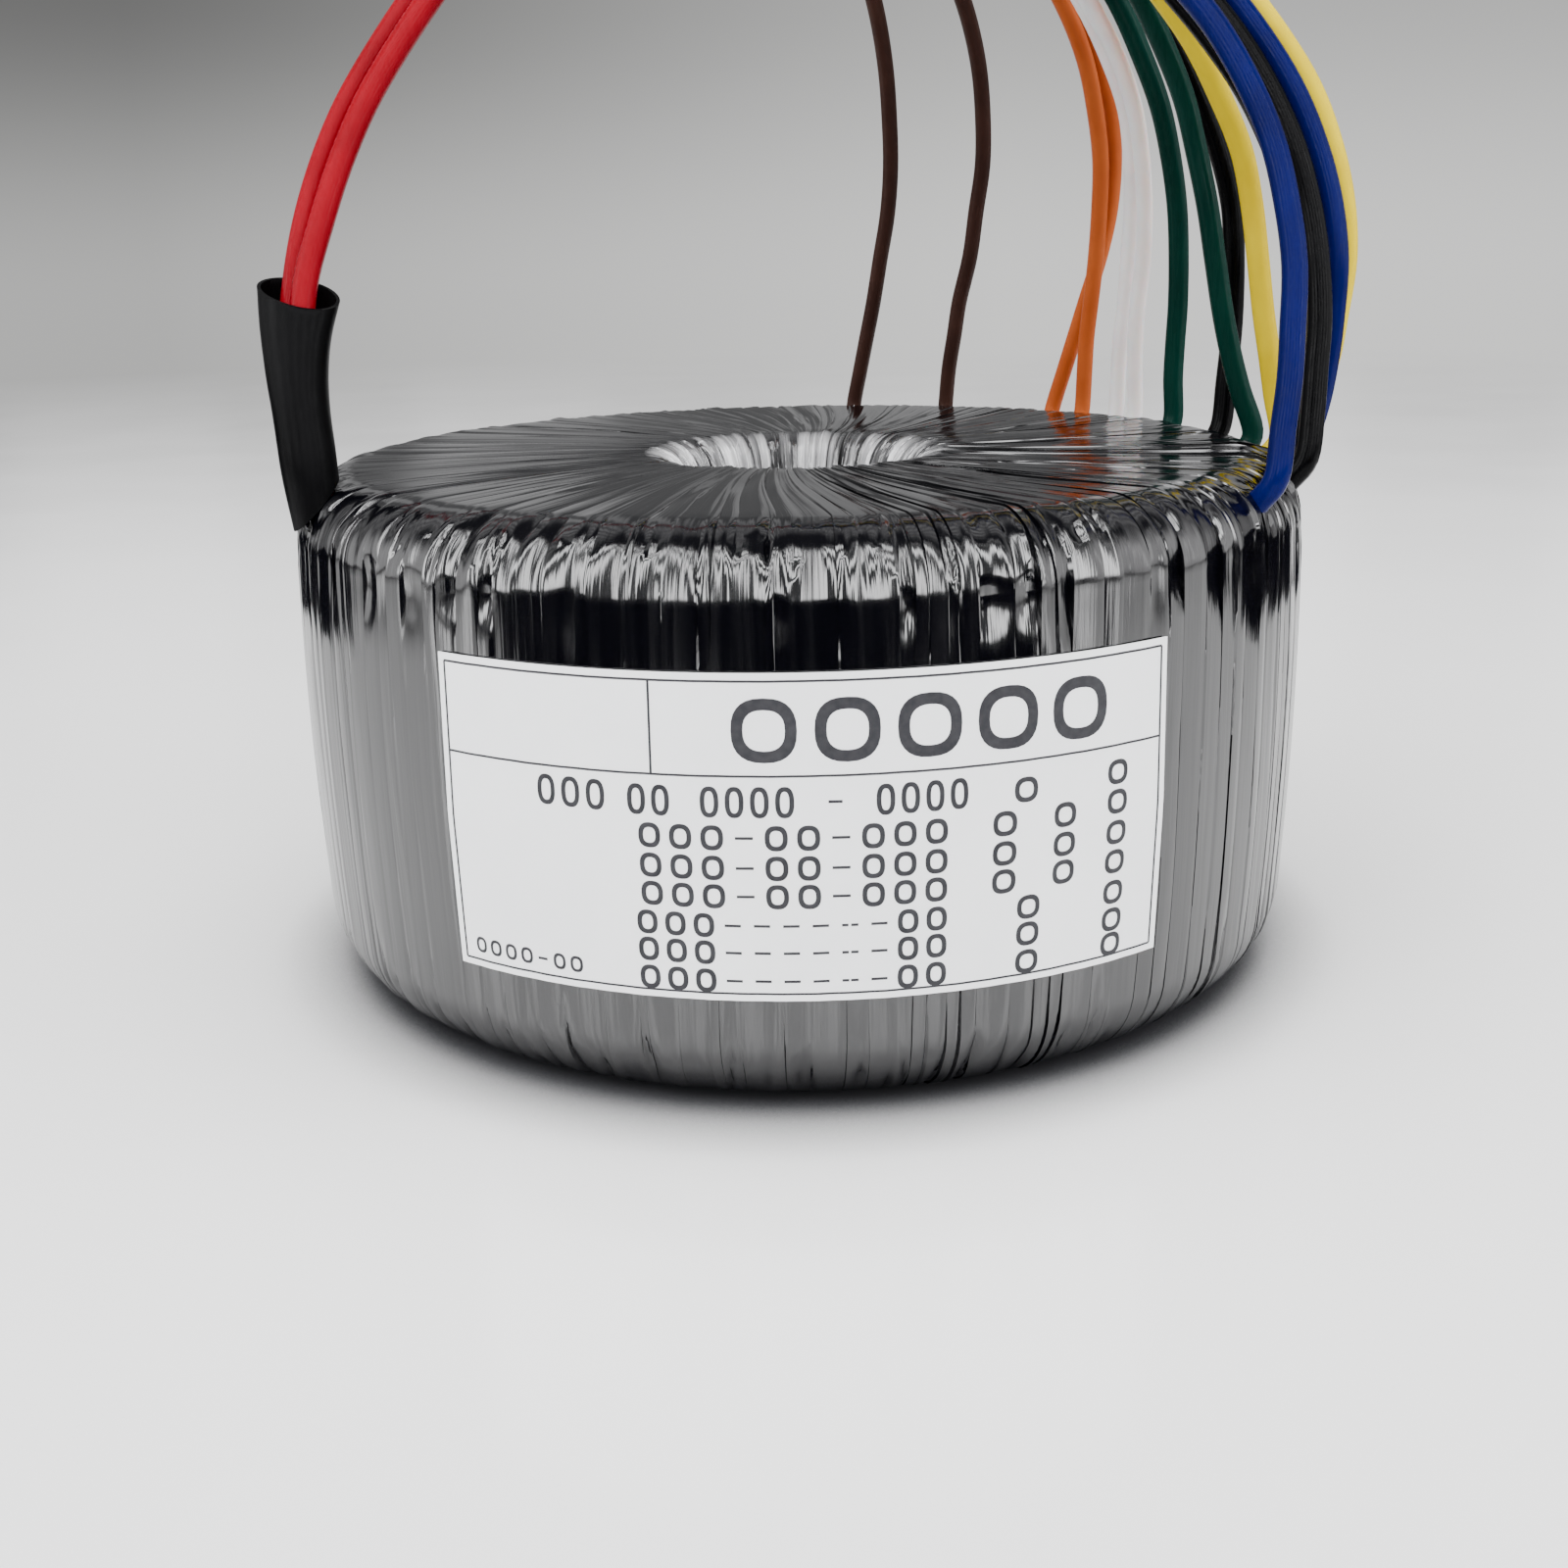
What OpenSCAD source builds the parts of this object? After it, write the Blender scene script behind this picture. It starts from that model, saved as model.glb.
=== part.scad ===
// Toroidal mains transformer of the 1500 W class: a tape-wound steel core, seven windings
// laid round it with film between them, an outer wrap of overlapping film turns, a rating
// label and seventeen flying leads gathered by a cable tie.
// The ring's axis is +Z, its base stands on z = 0 and the label faces -Y. Millimetres.

/* [Core] */
// Inner diameter of the bare steel core
core_bore_d = 80; // [79:0.5:84]
// Outer diameter of the bare steel core
core_d = 159; // [154:1:164]
// Height of the bare steel core
core_h = 63; // [58:1:68]
// Rounding of the bare core's edges
core_edge_r = 1; // [0.6:0.1:1.4]
// Thickness of the insulating caps and of the tape between them
insulation_t = 0.8; // [0.6:0.1:1.2]
// Height of the rim that each cap turns over the core's walls
cap_rim_h = 9; // [6:1:14]

/* [Windings] */
// Thickness of the primary winding
primary_t = 3.8; // [3.2:0.1:4.4]
// Thickness of the film over the primary winding
primary_film_t = 0.6; // [0.4:0.1:1]
// Thickness of each main secondary winding
secondary_t = 3.2; // [2.6:0.1:3.8]
// Thickness of the film over each main secondary winding
secondary_film_t = 0.4; // [0.3:0.1:0.8]
// Thickness of the layer that the four auxiliary windings share
aux_t = 2.6; // [2:0.1:3.2]
// Arc taken by the centre-tapped auxiliary winding, in degrees
aux_tapped_angle = 120; // [90:5:135]
// Bare arc between neighbouring auxiliary windings, in degrees
aux_spacing_angle = 4; // [2:1:8]
// Thickness in the bore for each millimetre on the wall
bore_build = 1.04; // [1:0.01:1.06]
// Growth of the corner radius for each millimetre of winding
corner_growth = 0.7; // [0.5:0.05:0.8]
// Clearance under each layer
layer_gap = 0.1; // [0.05:0.05:0.2]

/* [Film wrap] */
// Number of film turns whose edges show
turns = 84; // [60:1:90]
// Thickness of the wrap on the wall, under the lowest turns
wrap_wall_t = 1.6; // [1.4:0.1:2.4]
// Thickness of the wrap on the top and the base
wrap_end_t = 1.5; // [1.2:0.1:2.4]
// Thickness of the wrap in the bore
wrap_bore_t = 2.4; // [2:0.1:3.4]
// How far the wall bulges at mid height
wall_crown = 0.9; // [0.5:0.1:1.5]
// Rounding between wall and top
top_shoulder_r = 12; // [10:0.5:13]
// Rounding between wall and base
base_shoulder_r = 15; // [12:0.5:16]
// Rounding between bore and top or base
crest_r = 8; // [6:0.5:9]
// Least height of a turn's edge over the turn before it
lift_min = 0.15; // [0.1:0.05:0.3]
// Greatest height of a turn's edge over the turn before it
lift_max = 0.75; // [0.5:0.05:1]

/* [Label] */
// Arc that the label covers, in degrees
label_angle = 72.6; // [60:0.1:80]
// Height of the label's lower edge above the base
label_z = 22; // [20:0.5:26]
// Height of the label
label_h = 53; // [45:0.5:55]
// Thickness of the label
label_t = 0.25; // [0.15:0.05:0.4]
// Clearance between the label and the highest turn
label_gap = 0.05; // [0.02:0.01:0.1]

/* [Leads] */
// Diameter over the insulation of a primary or main secondary lead
main_lead_d = 4.4; // [4:0.1:4.5]
// Diameter over the insulation of a single auxiliary lead
aux_lead_d = 3.6; // [3.2:0.1:3.7]
// Diameter of the bare conductor of a main lead
main_wire_d = 2.2; // [1.8:0.1:2.6]
// Diameter of the bare conductor of an auxiliary lead
aux_wire_d = 1.6; // [1.2:0.1:2]
// Length of bare conductor at each lead's end
strip_l = 8; // [5:1:12]
// Radial clearance of a lead where it passes through the wrap
lead_fit = 0.15; // [0.1:0.05:0.2]
// Wall of the sleeve over the two primary leads
sleeve_t = 0.6; // [0.4:0.1:0.8]

/* [Cable tie] */
// Radius of the gathered leads
bundle_r = 11.9; // [11.8:0.1:12.2]
// Clearance between the gathered leads and the tie
tie_fit = 0.3; // [0.2:0.1:0.5]
// Thickness of the tie's strap
tie_t = 1.3; // [1:0.1:1.6]
// Width of the tie's strap
tie_w = 4.6; // [3.6:0.1:5]
// Length of the tie's head along the strap
tie_head_l = 8; // [6:0.5:10]
// Thickness of the tie's head
tie_head_t = 5.5; // [4:0.5:7]
// Width of the tie's head across the strap
tie_head_w = 6.4; // [6:0.1:8]
// Length of the strap's cut end beyond the head
tie_tail_l = 2.5; // [1:0.5:4]

/* [Hidden] */

// What lies over the bare core once each layer is on.
t_insulation = insulation_t;
t_primary = t_insulation + primary_t;
t_primary_film = t_primary + primary_film_t;
t_blue = t_primary_film + secondary_t;
t_blue_film = t_blue + secondary_film_t;
t_yellow = t_blue_film + secondary_t;
t_yellow_film = t_yellow + secondary_film_t;
t_aux = t_yellow_film + aux_t;

// The wrapped body.
body_h = core_h + 2 * (t_aux + wrap_end_t);
mid_z = body_h / 2;
bore_r = core_bore_d / 2 - bore_build * t_aux - wrap_bore_t;
wall_r = core_d / 2 + t_aux + wrap_wall_t;
crown_r = wall_r + wall_crown;
section_mid = [(bore_r + wall_r) / 2, mid_z];
// How far the wrap's facets run past the bore and the base before both are cut true.
bore_cut = 1.5;
base_cut = 0.6;
// The single auxiliary windings share what the tapped one leaves.
aux_single_angle = (360 - aux_tapped_angle) / 3;
eps = 0.5;

// The leads' routes: x and y at each of these heights over the wrap's top, from just inside
// the wrap, up past the shoulder, in towards the axis of the bundle and on to the end of the
// insulation.
lead_rise = [-4.5, 0, 8, 16, 24, 34, 44, 54, 64, 74, 84, 94, 104, 114, 124,
    134, 144, 154, 163, 172, 182];
bundle_xy = [0, 20];
tie_rise = 172;
red_a = [[-86.5, -34.5], [-87, -34.5], [-87.5, -33.5], [-88.5, -32], [-89, -30.5],
    [-88, -27.5], [-86, -24.5], [-83, -20.5], [-78.5, -17], [-72.5, -12.5], [-65.5, -8],
    [-57.5, -3], [-49, 2], [-40.5, 6.5], [-32.5, 11], [-24.5, 15], [-18, 18],
    [-13, 20.5], [-10, 22], [-9, 22.5], [-9, 22.5]];
red_b = [[-84.5, -39], [-85, -39.5], [-85.5, -38.5], [-86, -37], [-86, -35],
    [-85, -32], [-82, -29], [-78.5, -25.5], [-74, -21.5], [-68, -17], [-61, -12.5],
    [-53.5, -8], [-45.5, -3], [-37.5, 1.5], [-30, 5.5], [-23, 9.5], [-17, 12.5],
    [-12.5, 15], [-10, 16.5], [-9, 17], [-9, 17]];
blue_a = [[77.5, -52], [80, -54], [81, -52.5], [82, -51], [82.5, -49],
    [83, -46], [82, -42.5], [80, -38.5], [76, -34.5], [70.5, -29.5], [62.5, -24],
    [54, -18.5], [44, -13], [34, -7.5], [24.5, -2.5], [15.5, 2], [7.5, 5.5],
    [1.5, 8.5], [-1.5, 10], [-3, 11], [-3, 11]];
blue_b = [[92, -14.5], [95, -15.5], [97, -16.5], [98, -17], [98.5, -17],
    [98.5, -17], [97, -16], [94, -14.5], [89.5, -12.5], [83, -10], [75, -7],
    [65.5, -4], [55.5, -0.5], [45, 2.5], [35, 5.5], [26, 8], [17.5, 10.5],
    [11.5, 12], [8, 13], [6.5, 13], [6.5, 13]];
black_a = [[89, -28], [92, -29], [93, -27.5], [93.5, -26], [94, -24.5],
    [93.5, -22.5], [92, -20], [89, -18], [84.5, -15], [78, -12.5], [69.5, -9.5],
    [60.5, -6.5], [50, -3], [40, 0], [30, 3], [21, 5.5], [13, 7.5],
    [7, 9.5], [3.5, 10.5], [2, 10.5], [2, 10.5]];
black_b = [[91, -21], [94, -22], [94, -21], [94, -20], [94, -19],
    [93, -17], [90.5, -15], [87, -12.5], [82, -10], [75, -7], [66.5, -4],
    [57.5, -1], [47.5, 2], [37.5, 5], [27.5, 8], [18.5, 10.5], [11, 12.5],
    [5, 14], [1.5, 15], [0.5, 15.5], [0.5, 15.5]];
black_c = [[88.5, 29.5], [90.5, 30], [91, 30], [91.5, 30], [91.5, 29.5],
    [91, 29], [90, 29], [87, 28.5], [82.5, 28], [77, 27.5], [69.5, 27],
    [61, 26.5], [51.5, 26], [41.5, 25.5], [32, 25], [22.5, 24.5], [14.5, 24],
    [8, 23.5], [4.5, 23], [3.5, 23], [3.5, 23]];
yellow_a = [[93, 4], [96, 4], [94.5, 4.5], [93, 4.5], [91.5, 5],
    [90, 5.5], [88.5, 6.5], [86, 7], [81.5, 8], [76, 9], [68.5, 10.5],
    [60, 11.5], [50.5, 13], [40.5, 14], [31, 15.5], [22.5, 16.5], [14.5, 17],
    [9, 18], [5.5, 18.5], [4.5, 18.5], [4.5, 18.5]];
yellow_b = [[93, -7.5], [96, -8], [98.5, -8.5], [100.5, -9.5], [101.5, -9.5],
    [102.5, -9], [101.5, -8.5], [99, -7], [95, -5], [88.5, -3], [80.5, -0.5],
    [71, 2], [60.5, 5], [49.5, 7.5], [39, 10.5], [29, 12.5], [20.5, 15],
    [14, 16.5], [10.5, 17.5], [9, 17.5], [9, 17.5]];
green_a = [[82, 44.5], [83.5, 45.5], [83, 45], [83, 44.5], [83, 43.5],
    [82.5, 42.5], [81.5, 41.5], [79.5, 40.5], [76.5, 39], [72, 38], [66.5, 36.5],
    [59, 35], [50.5, 33.5], [41.5, 32], [33, 30.5], [24.5, 29.5], [17, 28.5],
    [11, 27.5], [7.5, 27], [6.5, 27], [6.5, 27]];
green_b = [[92, 15.5], [93.5, 15.5], [90.5, 15.5], [88, 15.5], [86, 15.5],
    [84, 15.5], [82, 15.5], [79.5, 16], [76.5, 16], [72, 16.5], [66.5, 17],
    [59.5, 17.5], [51.5, 18.5], [43, 19], [34.5, 19.5], [26.5, 20.5], [19.5, 21],
    [13.5, 22], [10.5, 22.5], [9, 22.5], [9, 22.5]];
white_a = [[72, 59], [73.5, 60], [73.5, 59], [73.5, 57.5], [74, 56.5],
    [74, 54.5], [74, 52.5], [73, 50], [71, 47.5], [66.5, 45], [60.5, 42],
    [52.5, 38.5], [43.5, 35.5], [33.5, 32.5], [23.5, 29.5], [14.5, 27], [6.5, 24.5],
    [0, 23], [-3.5, 22], [-4.5, 21.5], [-4.5, 21.5]];
white_b = [[75.5, 55], [77, 56], [76.5, 55], [76, 53.5], [76, 52],
    [76.5, 50.5], [76, 48.5], [74.5, 46], [72, 43.5], [67.5, 41], [61, 38],
    [53.5, 34.5], [44.5, 31.5], [35, 28.5], [25.5, 26], [17, 23.5], [9.5, 22],
    [4, 20.5], [1, 20], [0, 20], [0, 20]];
orange_a = [[60, 71.5], [61, 73], [63, 71], [65, 69], [67, 67],
    [69.5, 64.5], [71, 62], [71, 59.5], [69.5, 56.5], [66, 53.5], [61, 50.5],
    [54, 47], [46, 44], [37.5, 40.5], [28.5, 37.5], [20, 34.5], [12.5, 32],
    [6.5, 30], [3, 29], [2, 29], [2, 29]];
orange_b = [[66, 66], [67, 67.5], [67, 66], [67, 64.5], [67.5, 63],
    [68, 61], [68, 58.5], [67.5, 56], [65.5, 53], [62.5, 50], [57.5, 47],
    [50.5, 43.5], [42.5, 40], [34, 37], [25, 33.5], [17, 30.5], [9.5, 28],
    [3.5, 26], [0, 25], [-1, 24.5], [-1, 24.5]];
brown_a = [[14.5, 92], [15, 94], [16.5, 91.5], [18, 89], [19.5, 86.5],
    [21, 83], [22.5, 79], [23, 75], [22.5, 70.5], [21.5, 66], [19.5, 60.5],
    [16.5, 55.5], [13, 50], [9.5, 44.5], [5.5, 40], [1.5, 35.5], [-1.5, 31.5],
    [-4, 29], [-6, 27], [-6.5, 26.5], [-6.5, 26.5]];
brown_b = [[36.5, 86], [37, 87.5], [37.5, 85.5], [38.5, 83], [39.5, 81],
    [41.5, 77.5], [42.5, 74.5], [43.5, 71], [43, 67], [41.5, 62.5], [38.5, 58],
    [34, 53.5], [29, 49], [22.5, 44.5], [16.5, 40], [10.5, 36.5], [5, 33],
    [1, 30.5], [-1.5, 29.5], [-2.5, 29], [-2.5, 29]];
main_routes = [red_a, red_b, blue_a, blue_b, black_a, black_b, black_c,
    yellow_a, yellow_b, green_a, green_b];
aux_routes = [white_a, white_b, orange_a, orange_b, brown_a, brown_b];

// The sleeve's sections from base to mouth, each centred between the two leads inside: height
// over the wrap's top, half width, half thickness, turn of the wide side in degrees, and the
// section's rise for each millimetre along x and along y.
sleeve_sections = [
    [-3.3, 6.2, 4.3, -68, 0.95, 0.4],
    [4.5, 6.2, 4.8, -66, 0.45, 0.2],
    [12, 6.2, 4.9, -62, 0.1, 0.1],
    [19, 6.5, 5.2, -54, -0.05, 0.15],
    [26, 7, 5.6, -42, -0.15, 0.22],
    [32.5, 7.6, 6.2, -30, -0.2, 0.3]];

function arc(mid, r, from, to, steps) = [for (k = [0:steps])
    let (a = from + (to - from) * k / steps) mid + r * [cos(a), sin(a)]];
function unit(v) = v / norm(v);
function turned(line, a) = [for (p = line) [p[0] * cos(a), p[0] * sin(a), p[1]]];

// Triangles between ring i and ring i2, each of m points.
function strip(i, i2, m) = [for (j = [0:m - 1]) let (j2 = (j + 1) % m)
    each [[i * m + j, i2 * m + j, i2 * m + j2], [i * m + j, i2 * m + j2, i * m + j2]]];

// A closed skin over rings of points; both ways round join up.
module skin(rings) {
    n = len(rings);
    polyhedron([for (ring = rings) each ring],
        [for (i = [0:n - 1]) each strip(i, (i + 1) % n, len(rings[0]))]);
}

// Radial section of whatever lies within t of the bare core.
module section(t) {
    r0 = core_bore_d / 2 - bore_build * t;
    r1 = core_d / 2 + t;
    z0 = mid_z - core_h / 2 - t;
    z1 = mid_z + core_h / 2 + t;
    c = core_edge_r + corner_growth * t;
    difference() {
        translate([r0, z0]) square([r1 - r0, z1 - z0]);
        for (outer = [0, 1], top = [0, 1])
            translate([outer ? r1 - c : r0 + c, top ? z1 - c : z0 + c])
                difference() {
                    translate([outer ? 0 : -c - eps, top ? 0 : -c - eps]) square(c + eps);
                    circle(r = c, $fn = 64);
                }
    }
}

// Radial section of one layer, from what lies under it out to t.
module layer(under, t) {
    difference() {
        section(t);
        section(under + layer_gap);
    }
}

module ring_layer(under, t) rotate_extrude($fn = 96) layer(under, t);

// One auxiliary winding: its arc starts at a degrees from +X.
module aux_winding(a, span) rotate([0, 0, a + aux_spacing_angle / 2])
    rotate_extrude(angle = span - aux_spacing_angle, $fn = 96) layer(t_yellow_film, t_aux);

module core() color("dimgray") rotate_extrude($fn = 96) section(0);

// Side 1 is the top cap and side -1 the bottom one.
module core_cap(side) rotate_extrude($fn = 96) intersection() {
    layer(0, t_insulation);
    translate([0, mid_z + side * core_h / 2 - (side > 0 ? cap_rim_h : body_h)])
        square([body_h + core_d, cap_rim_h + body_h]);
}

module core_cap_top() color("ivory") core_cap(1);

module core_cap_bottom() color("ivory") core_cap(-1);

module core_tape() color("khaki") rotate_extrude($fn = 96) intersection() {
    layer(0, t_insulation);
    translate([0, mid_z - core_h / 2 + cap_rim_h + layer_gap])
        square([core_d, core_h - 2 * cap_rim_h - 2 * layer_gap]);
}

module primary_winding() color("peru") ring_layer(t_insulation, t_primary);

module primary_film() color("lightyellow") ring_layer(t_primary, t_primary_film);

module secondary_blue() color("chocolate") ring_layer(t_primary_film, t_blue);

module secondary_blue_film() color("lightyellow") ring_layer(t_blue, t_blue_film);

module secondary_yellow() color("sienna") ring_layer(t_blue_film, t_yellow);

module secondary_yellow_film() color("lightyellow") ring_layer(t_yellow, t_yellow_film);

module aux_green_winding() color("peru") aux_winding(-60, aux_tapped_angle);

module aux_white_winding() color("sandybrown")
    aux_winding(aux_tapped_angle - 60, aux_single_angle);

module aux_brown_winding() color("sandybrown")
    aux_winding(aux_tapped_angle - 60 + aux_single_angle, aux_single_angle);

module aux_orange_winding() color("sandybrown")
    aux_winding(aux_tapped_angle - 60 + 2 * aux_single_angle, aux_single_angle);

// Outline of the wrap with no turn lifted: bore, top, wall, base.
top_mid = [wall_r - top_shoulder_r, body_h - top_shoulder_r];
base_mid = [wall_r - base_shoulder_r, base_shoulder_r];
crest_mid = [bore_r + crest_r, body_h - crest_r];
wrap_outline = concat(
    [[bore_r - bore_cut, body_h - crest_r]],
    arc(crest_mid, crest_r, 135, 90, 1),
    arc(top_mid, top_shoulder_r, 90, 10, 4),
    [[crown_r, mid_z]],
    arc(base_mid, base_shoulder_r, -5, -75, 3),
    [[base_mid[0] - 1, -base_cut], [crest_mid[0] - 2, -base_cut]],
    arc([crest_mid[0], crest_r], crest_r, 225, 225, 1),
    [[bore_r - bore_cut, crest_r]]);

// Turns differ in width and in how far their edge stands up, and the pattern closes.
function turn_angle(i) = 360 / turns * (i + 0.3 * sin((i % turns) * 222.5));
function lift(i) = lift_min + (lift_max - lift_min) * (0.5 + 0.5 * sin(i * 137.5));
function lifted(h) = [for (p = wrap_outline) p + h * unit(p - section_mid)];

module wrap_skin() skin([for (i = [0:turns - 1]) each [
    turned(lifted(lift(i)), turn_angle(i)),
    turned(lifted(0), turn_angle(i + 1))]]);

// Room for the windings, a little clear of the outermost ones: its flats touch the round
// form from outside, at the corners and on the way round.
hollow_sides = 42;
hollow_corner_steps = 4;
hollow_t = t_aux + layer_gap;
hollow_c = core_edge_r + corner_growth * hollow_t;
hollow_r0 = core_bore_d / 2 - bore_build * hollow_t + hollow_c;
hollow_r1 = (core_d / 2 + hollow_t) / cos(180 / hollow_sides) - hollow_c;
hollow_z0 = mid_z - core_h / 2 - hollow_t + hollow_c;
hollow_z1 = mid_z + core_h / 2 + hollow_t - hollow_c;
function hollow_corner(mid, from) = let (half = 45 / hollow_corner_steps)
    arc(mid, hollow_c / cos(half), from - half, from - 90 + half, hollow_corner_steps - 1);
hollow_outline = concat(
    hollow_corner([hollow_r0, hollow_z1], 180),
    hollow_corner([hollow_r1, hollow_z1], 90),
    hollow_corner([hollow_r1, hollow_z0], 0),
    hollow_corner([hollow_r0, hollow_z0], 270));

module wrap_hollow() skin([for (i = [0:hollow_sides - 1])
    turned(hollow_outline, i * 360 / hollow_sides)]);

// The leads leave through the top's shoulder: their feet move with it and with the wall, and
// the routes come back to their own points higher up.
foot_inset = top_shoulder_r / 4;
foot_shift = wall_r - foot_inset - norm(red_a[0]);
route_settles_at = 10;
function route_shift(route, k) =
    foot_shift * max(0, 1 - k / route_settles_at) * unit(route[0]);
function route_point(route, k) = let (p = route[k] + route_shift(route, k))
    [p[0], p[1], body_h + lead_rise[k]];

// The hole that a lead leaves by, along its first stretch.
module lead_hole(route, d) {
    start = route_point(route, 0);
    along = unit(route_point(route, 1) - start);
    translate(start)
        rotate([0, acos(along[2]), atan2(along[1], along[0])])
            translate([0, 0, -3]) cylinder(r = d / 2 + lead_fit, h = 14, $fn = 32);
}

module outer_wrap() color([0.09, 0.1, 0.13]) difference() {
    wrap_skin();
    wrap_hollow();
    translate([0, 0, -eps]) cylinder(r = bore_r, h = body_h + 2 * eps, $fn = 96);
    translate([-core_d, -core_d, -core_d]) cube([2 * core_d, 2 * core_d, core_d]);
    for (route = main_routes) lead_hole(route, main_lead_d);
    for (route = aux_routes) lead_hole(route, aux_lead_d);
}

// Radius of the wall, under the turns' edges, at height z.
function wall_at(z) = lookup(z, [
    [base_shoulder_r, wall_r], [mid_z, crown_r], [body_h - top_shoulder_r, wall_r]]);

module label() color("whitesmoke") rotate([0, 0, -90 - label_angle / 2])
    rotate_extrude(angle = label_angle, $fn = 96) {
        stand = lift_max + label_gap;
        heights = [label_z, mid_z, label_z + label_h];
        polygon(concat(
            [for (z = heights) [wall_at(z) + stand, z]],
            [for (k = [2:-1:0]) [wall_at(heights[k]) + stand + label_t, heights[k]]]));
    }

function route_at(route, rise) = [for (axis = [0, 1])
    lookup(rise, [for (k = [0:len(route) - 1]) [lead_rise[k], route_point(route, k)[axis]]])];

function sleeve_point(s, a, inset) = let (
    mid = (route_at(red_a, s[0]) + route_at(red_b, s[0])) / 2,
    u = (s[1] - inset) * cos(a),
    v = (s[2] - inset) * sin(a),
    dx = u * cos(s[3]) - v * sin(s[3]),
    dy = u * sin(s[3]) + v * cos(s[3]))
    [mid[0] + dx, mid[1] + dy, body_h + s[0] + s[4] * dx + s[5] * dy];

module primary_sleeve() color("black") {
    last = len(sleeve_sections) - 1;
    skin([for (a = [0:15:345]) concat(
        [for (k = [last:-1:0]) sleeve_point(sleeve_sections[k], a, 0)],
        [for (k = [0:last]) sleeve_point(sleeve_sections[k], a, sleeve_t)])]);
}

// A lead's insulation: a tube along the route.
lead_sides = 8;
function route_way(route, k) = unit(
    route_point(route, min(k + 1, len(route) - 1)) - route_point(route, max(k - 1, 0)));
function ring_at(p, way, r) = let (u = unit(cross([0, 1, 0], way)), v = cross(way, u))
    [for (j = [0:lead_sides - 1]) let (a = j * 360 / lead_sides)
        p + r * (u * cos(a) + v * sin(a))];

module lead(route, d) {
    last = len(route) - 1;
    m = lead_sides;
    polyhedron(
        [for (k = [0:last]) each ring_at(route_point(route, k), route_way(route, k), d / 2)],
        concat([for (i = [0:last - 1]) each strip(i, i + 1, m)],
            [[for (j = [0:m - 1]) j], [for (j = [m - 1:-1:0]) last * m + j]]));
}

module main_lead(route) lead(route, main_lead_d);

module aux_lead(route) lead(route, aux_lead_d);

// The bare conductor that stands out of a lead's end, which runs straight up.
module wire_end(route, d) {
    end = len(route) - 1;
    translate(route_point(route, end)) cylinder(r = d / 2, h = strip_l, $fn = 24);
}

module wire_ends() color("lightgray") {
    for (route = main_routes) wire_end(route, main_wire_d);
    for (route = aux_routes) wire_end(route, aux_wire_d);
}

module lead_tie() color("white") translate([bundle_xy[0], bundle_xy[1], body_h + tie_rise]) {
    inner_r = bundle_r + tie_fit;
    difference() {
        union() {
            cylinder(r = inner_r + tie_t, h = tie_w, center = true, $fn = 72);
            rotate([0, 0, -50]) translate([inner_r, -tie_head_l / 2, -tie_head_w / 2])
                cube([tie_head_t, tie_head_l, tie_head_w]);
            rotate([0, 0, -50]) translate([inner_r + tie_head_t / 2, 0, -tie_w / 2])
                cube([tie_t, tie_head_l / 2 + tie_tail_l, tie_w]);
        }
        cylinder(r = inner_r, h = tie_head_w + 2 * eps, center = true, $fn = 72);
    }
}

core();
core_cap_top();
core_cap_bottom();
core_tape();
primary_winding();
primary_film();
secondary_blue();
secondary_blue_film();
secondary_yellow();
secondary_yellow_film();
aux_green_winding();
aux_white_winding();
aux_brown_winding();
aux_orange_winding();
outer_wrap();
label();
primary_sleeve();
lead_tie();
wire_ends();
color("crimson") main_lead(red_a);  // lead_red_a
color("crimson") main_lead(red_b);  // lead_red_b
color("mediumblue") main_lead(blue_a);  // lead_blue_a
color("mediumblue") main_lead(blue_b);  // lead_blue_b
color("black") main_lead(black_a);  // lead_black_a
color("black") main_lead(black_b);  // lead_black_b
color("black") main_lead(black_c);  // lead_black_c
color("gold") main_lead(yellow_a);  // lead_yellow_a
color("gold") main_lead(yellow_b);  // lead_yellow_b
color("darkgreen") main_lead(green_a);  // lead_green_a
color("darkgreen") main_lead(green_b);  // lead_green_b
color("white") aux_lead(white_a);  // lead_white_a
color("white") aux_lead(white_b);  // lead_white_b
color("coral") aux_lead(orange_a);  // lead_orange_a
color("coral") aux_lead(orange_b);  // lead_orange_b
color("saddlebrown") aux_lead(brown_a);  // lead_brown_a
color("saddlebrown") aux_lead(brown_b);  // lead_brown_b
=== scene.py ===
import functools
import math

import bpy
import numpy as np
from mathutils import Matrix, Vector


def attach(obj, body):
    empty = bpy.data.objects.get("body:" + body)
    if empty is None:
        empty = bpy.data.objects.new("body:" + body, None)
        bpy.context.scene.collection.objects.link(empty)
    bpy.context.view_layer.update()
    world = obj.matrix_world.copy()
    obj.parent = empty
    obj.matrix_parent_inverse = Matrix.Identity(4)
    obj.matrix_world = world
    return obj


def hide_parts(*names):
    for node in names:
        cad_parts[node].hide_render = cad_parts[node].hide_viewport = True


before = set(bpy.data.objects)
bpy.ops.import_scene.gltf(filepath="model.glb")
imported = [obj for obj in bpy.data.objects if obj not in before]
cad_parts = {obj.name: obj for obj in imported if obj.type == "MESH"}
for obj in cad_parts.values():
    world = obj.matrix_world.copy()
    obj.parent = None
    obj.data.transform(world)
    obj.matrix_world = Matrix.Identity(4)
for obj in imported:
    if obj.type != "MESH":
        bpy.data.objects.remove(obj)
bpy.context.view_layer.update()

MM = 0.001
TAU = 2 * math.pi
COLLECTION = bpy.context.scene.collection
NODES = {node: bpy.data.objects[node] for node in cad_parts}


# ---------------------------------------------------------------- camera

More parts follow.
